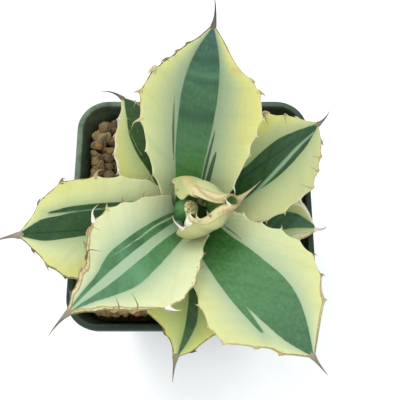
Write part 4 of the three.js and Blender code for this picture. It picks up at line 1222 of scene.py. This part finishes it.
def make_gravel():
    shells = Shells()
    rings = [square_ring(wall_half(z) - POT["wall"] - 0.3, wall_corner(z) - POT["wall"] - 0.3, z)
             for z in (POT["floor"] + 0.3, SOIL_LEVEL)]
    # the filling under the stones, darkened as painted shade where it shows between them
    shells.add(rings, tube_faces(2, len(rings[0])), 0, tint=0.1, shade=0.75)

    def put(kind, shape, key, size, reach, place, tint_draw, shade=0.0):
        """One stone, lying higher near the walls."""
        points, faces = shape
        x, y, z = place
        stone = broken_stone(points, key, kind["seed"]) * size
        stone = stone + np.array([x, y, z + heap(reach, x, y, size)])
        shells.add(stone, faces, 0, tint=chance(key, kind["seed"] + tint_draw), shade=shade)

    for kind in STONES:
        shape = ball(kind["detail"])
        seed = kind["seed"]
        reach = inside_reach(kind, WALL_GAP)
        per_side = int(2 * reach / kind["spacing"])
        pitch = 2 * reach / per_side
        for key in range(per_side * per_side):
            row, column = divmod(key, per_side)
            size = chance(key, seed, kind["least"], kind["most"])
            jolt = [chance(key + 900 * n, seed + 7, -0.35, 0.35) * pitch for n in (1, 2)]
            x = (column + 0.25 + 0.5 * (row % 2)) * pitch - reach + jolt[0]
            y = (row + 0.5) * pitch - reach + jolt[1]
            limit = reach - size * 0.98
            x, y = (float(np.clip(value, -limit, limit)) for value in (x, y))
            corner = limit - STONE_CORNER
            away = math.hypot(abs(x) - corner, abs(y) - corner)
            if min(abs(x), abs(y)) > corner and away > STONE_CORNER:  # round the pot's corners
                x, y = (math.copysign(corner + (abs(value) - corner) * STONE_CORNER / away, value)
                        for value in (x, y))
            z = kind["height"] + chance(key, seed + 9, -1, 1) * kind["spread"]
            put(kind, shape, key, size, reach, (x, y, z), 11)

    seed = EDGE["seed"]
    reach = inside_reach(EDGE, WALL_GAP)
    for key in range(4 * EDGE["per_side"]):
        side, place = divmod(key, EDGE["per_side"])
        size = chance(key, seed, EDGE["least"], EDGE["most"])
        out = reach - size
        share = (place + chance(key, seed + 2, 0.3, 0.7)) / EDGE["per_side"]
        aside = (2 * share - 1) * (reach - STONE_CORNER)
        x, y = [(out, aside), (-aside, out), (-out, -aside), (aside, -out)][side]
        z = EDGE["height"] + chance(key, seed + 3, -1, 1) * EDGE["spread"]
        put(EDGE, shape, key, size, reach, (x, y, z), 4)

    shape = ball(2)
    seed = GRIT["seed"]
    reach = inside_reach(GRIT, 1.5)
    corner = reach - GRIT_CORNER
    for key in range(GRIT["count"]):
        size = GRIT["least"] + (GRIT["most"] - GRIT["least"]) * chance(key, seed) ** 2
        x, y = (chance(key + 2000 * n, seed + 2, -1, 1) * reach for n in (1, 2))
        if math.hypot(max(abs(x) - corner, 0), max(abs(y) - corner, 0)) <= GRIT_CORNER:
            z = GRIT["height"] + chance(key, seed + 4, 0, GRIT["spread"])
            # the grit is a little darkened as painted shade
            put(GRIT, shape, key, size, reach, (x, y, z), 6, shade=0.1)
    obj = shells.build("fine_gravel", [gravel_material()])
    obj.data.polygons.foreach_set("use_smooth", [False] * len(obj.data.polygons))
    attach(obj, "root")
    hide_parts("soil")


# ---------------------------------------------------------------- floor and light


def make_floor():
    mesh = bpy.data.meshes.new("floor")
    half = 2.5  # metres
    corners = [(-half, -half, 0), (half, -half, 0), (half, half, 0), (-half, half, 0)]
    mesh.from_pydata(corners, [], [(0, 1, 2, 3)])
    mesh.materials.append(floor_material())
    floor = bpy.data.objects.new("floor", mesh)
    bpy.context.scene.collection.objects.link(floor)


def make_lamp(name, place, size, power):
    light = bpy.data.lights.new(name, "AREA")
    light.shape = "DISK"
    light.size = size
    light.energy = power
    lamp = bpy.data.objects.new(name, light)
    lamp.location = place
    lamp.rotation_euler = (Vector((0, 0, 0.09)) - Vector(place)).to_track_quat("-Z", "Y").to_euler()
    bpy.context.scene.collection.objects.link(lamp)


def make_light():
    make_lamp("key", (-0.45, 0.75, 1.0), 0.6, 4)
    make_lamp("fill", (0.6, -0.7, 1.1), 1.0, 1.4)
    world = bpy.data.worlds.new("studio")
    world.use_nodes = True
    backdrop = world.node_tree.nodes["Background"]
    backdrop.inputs["Color"].default_value = (0.94, 0.97, 1.0, 1)
    backdrop.inputs["Strength"].default_value = 1.35
    bpy.context.scene.world = world
    bpy.context.scene.view_settings.view_transform = "Standard"


# ---------------------------------------------------------------- assembly

make_floor()
make_light()
make_pot()
make_gravel()
make_stem()
horn = horn_material()
for order, table in enumerate([*LEAVES, CUP_LEAF], start=1):
    grow_leaf(table, order, horn)
make_bud(horn)
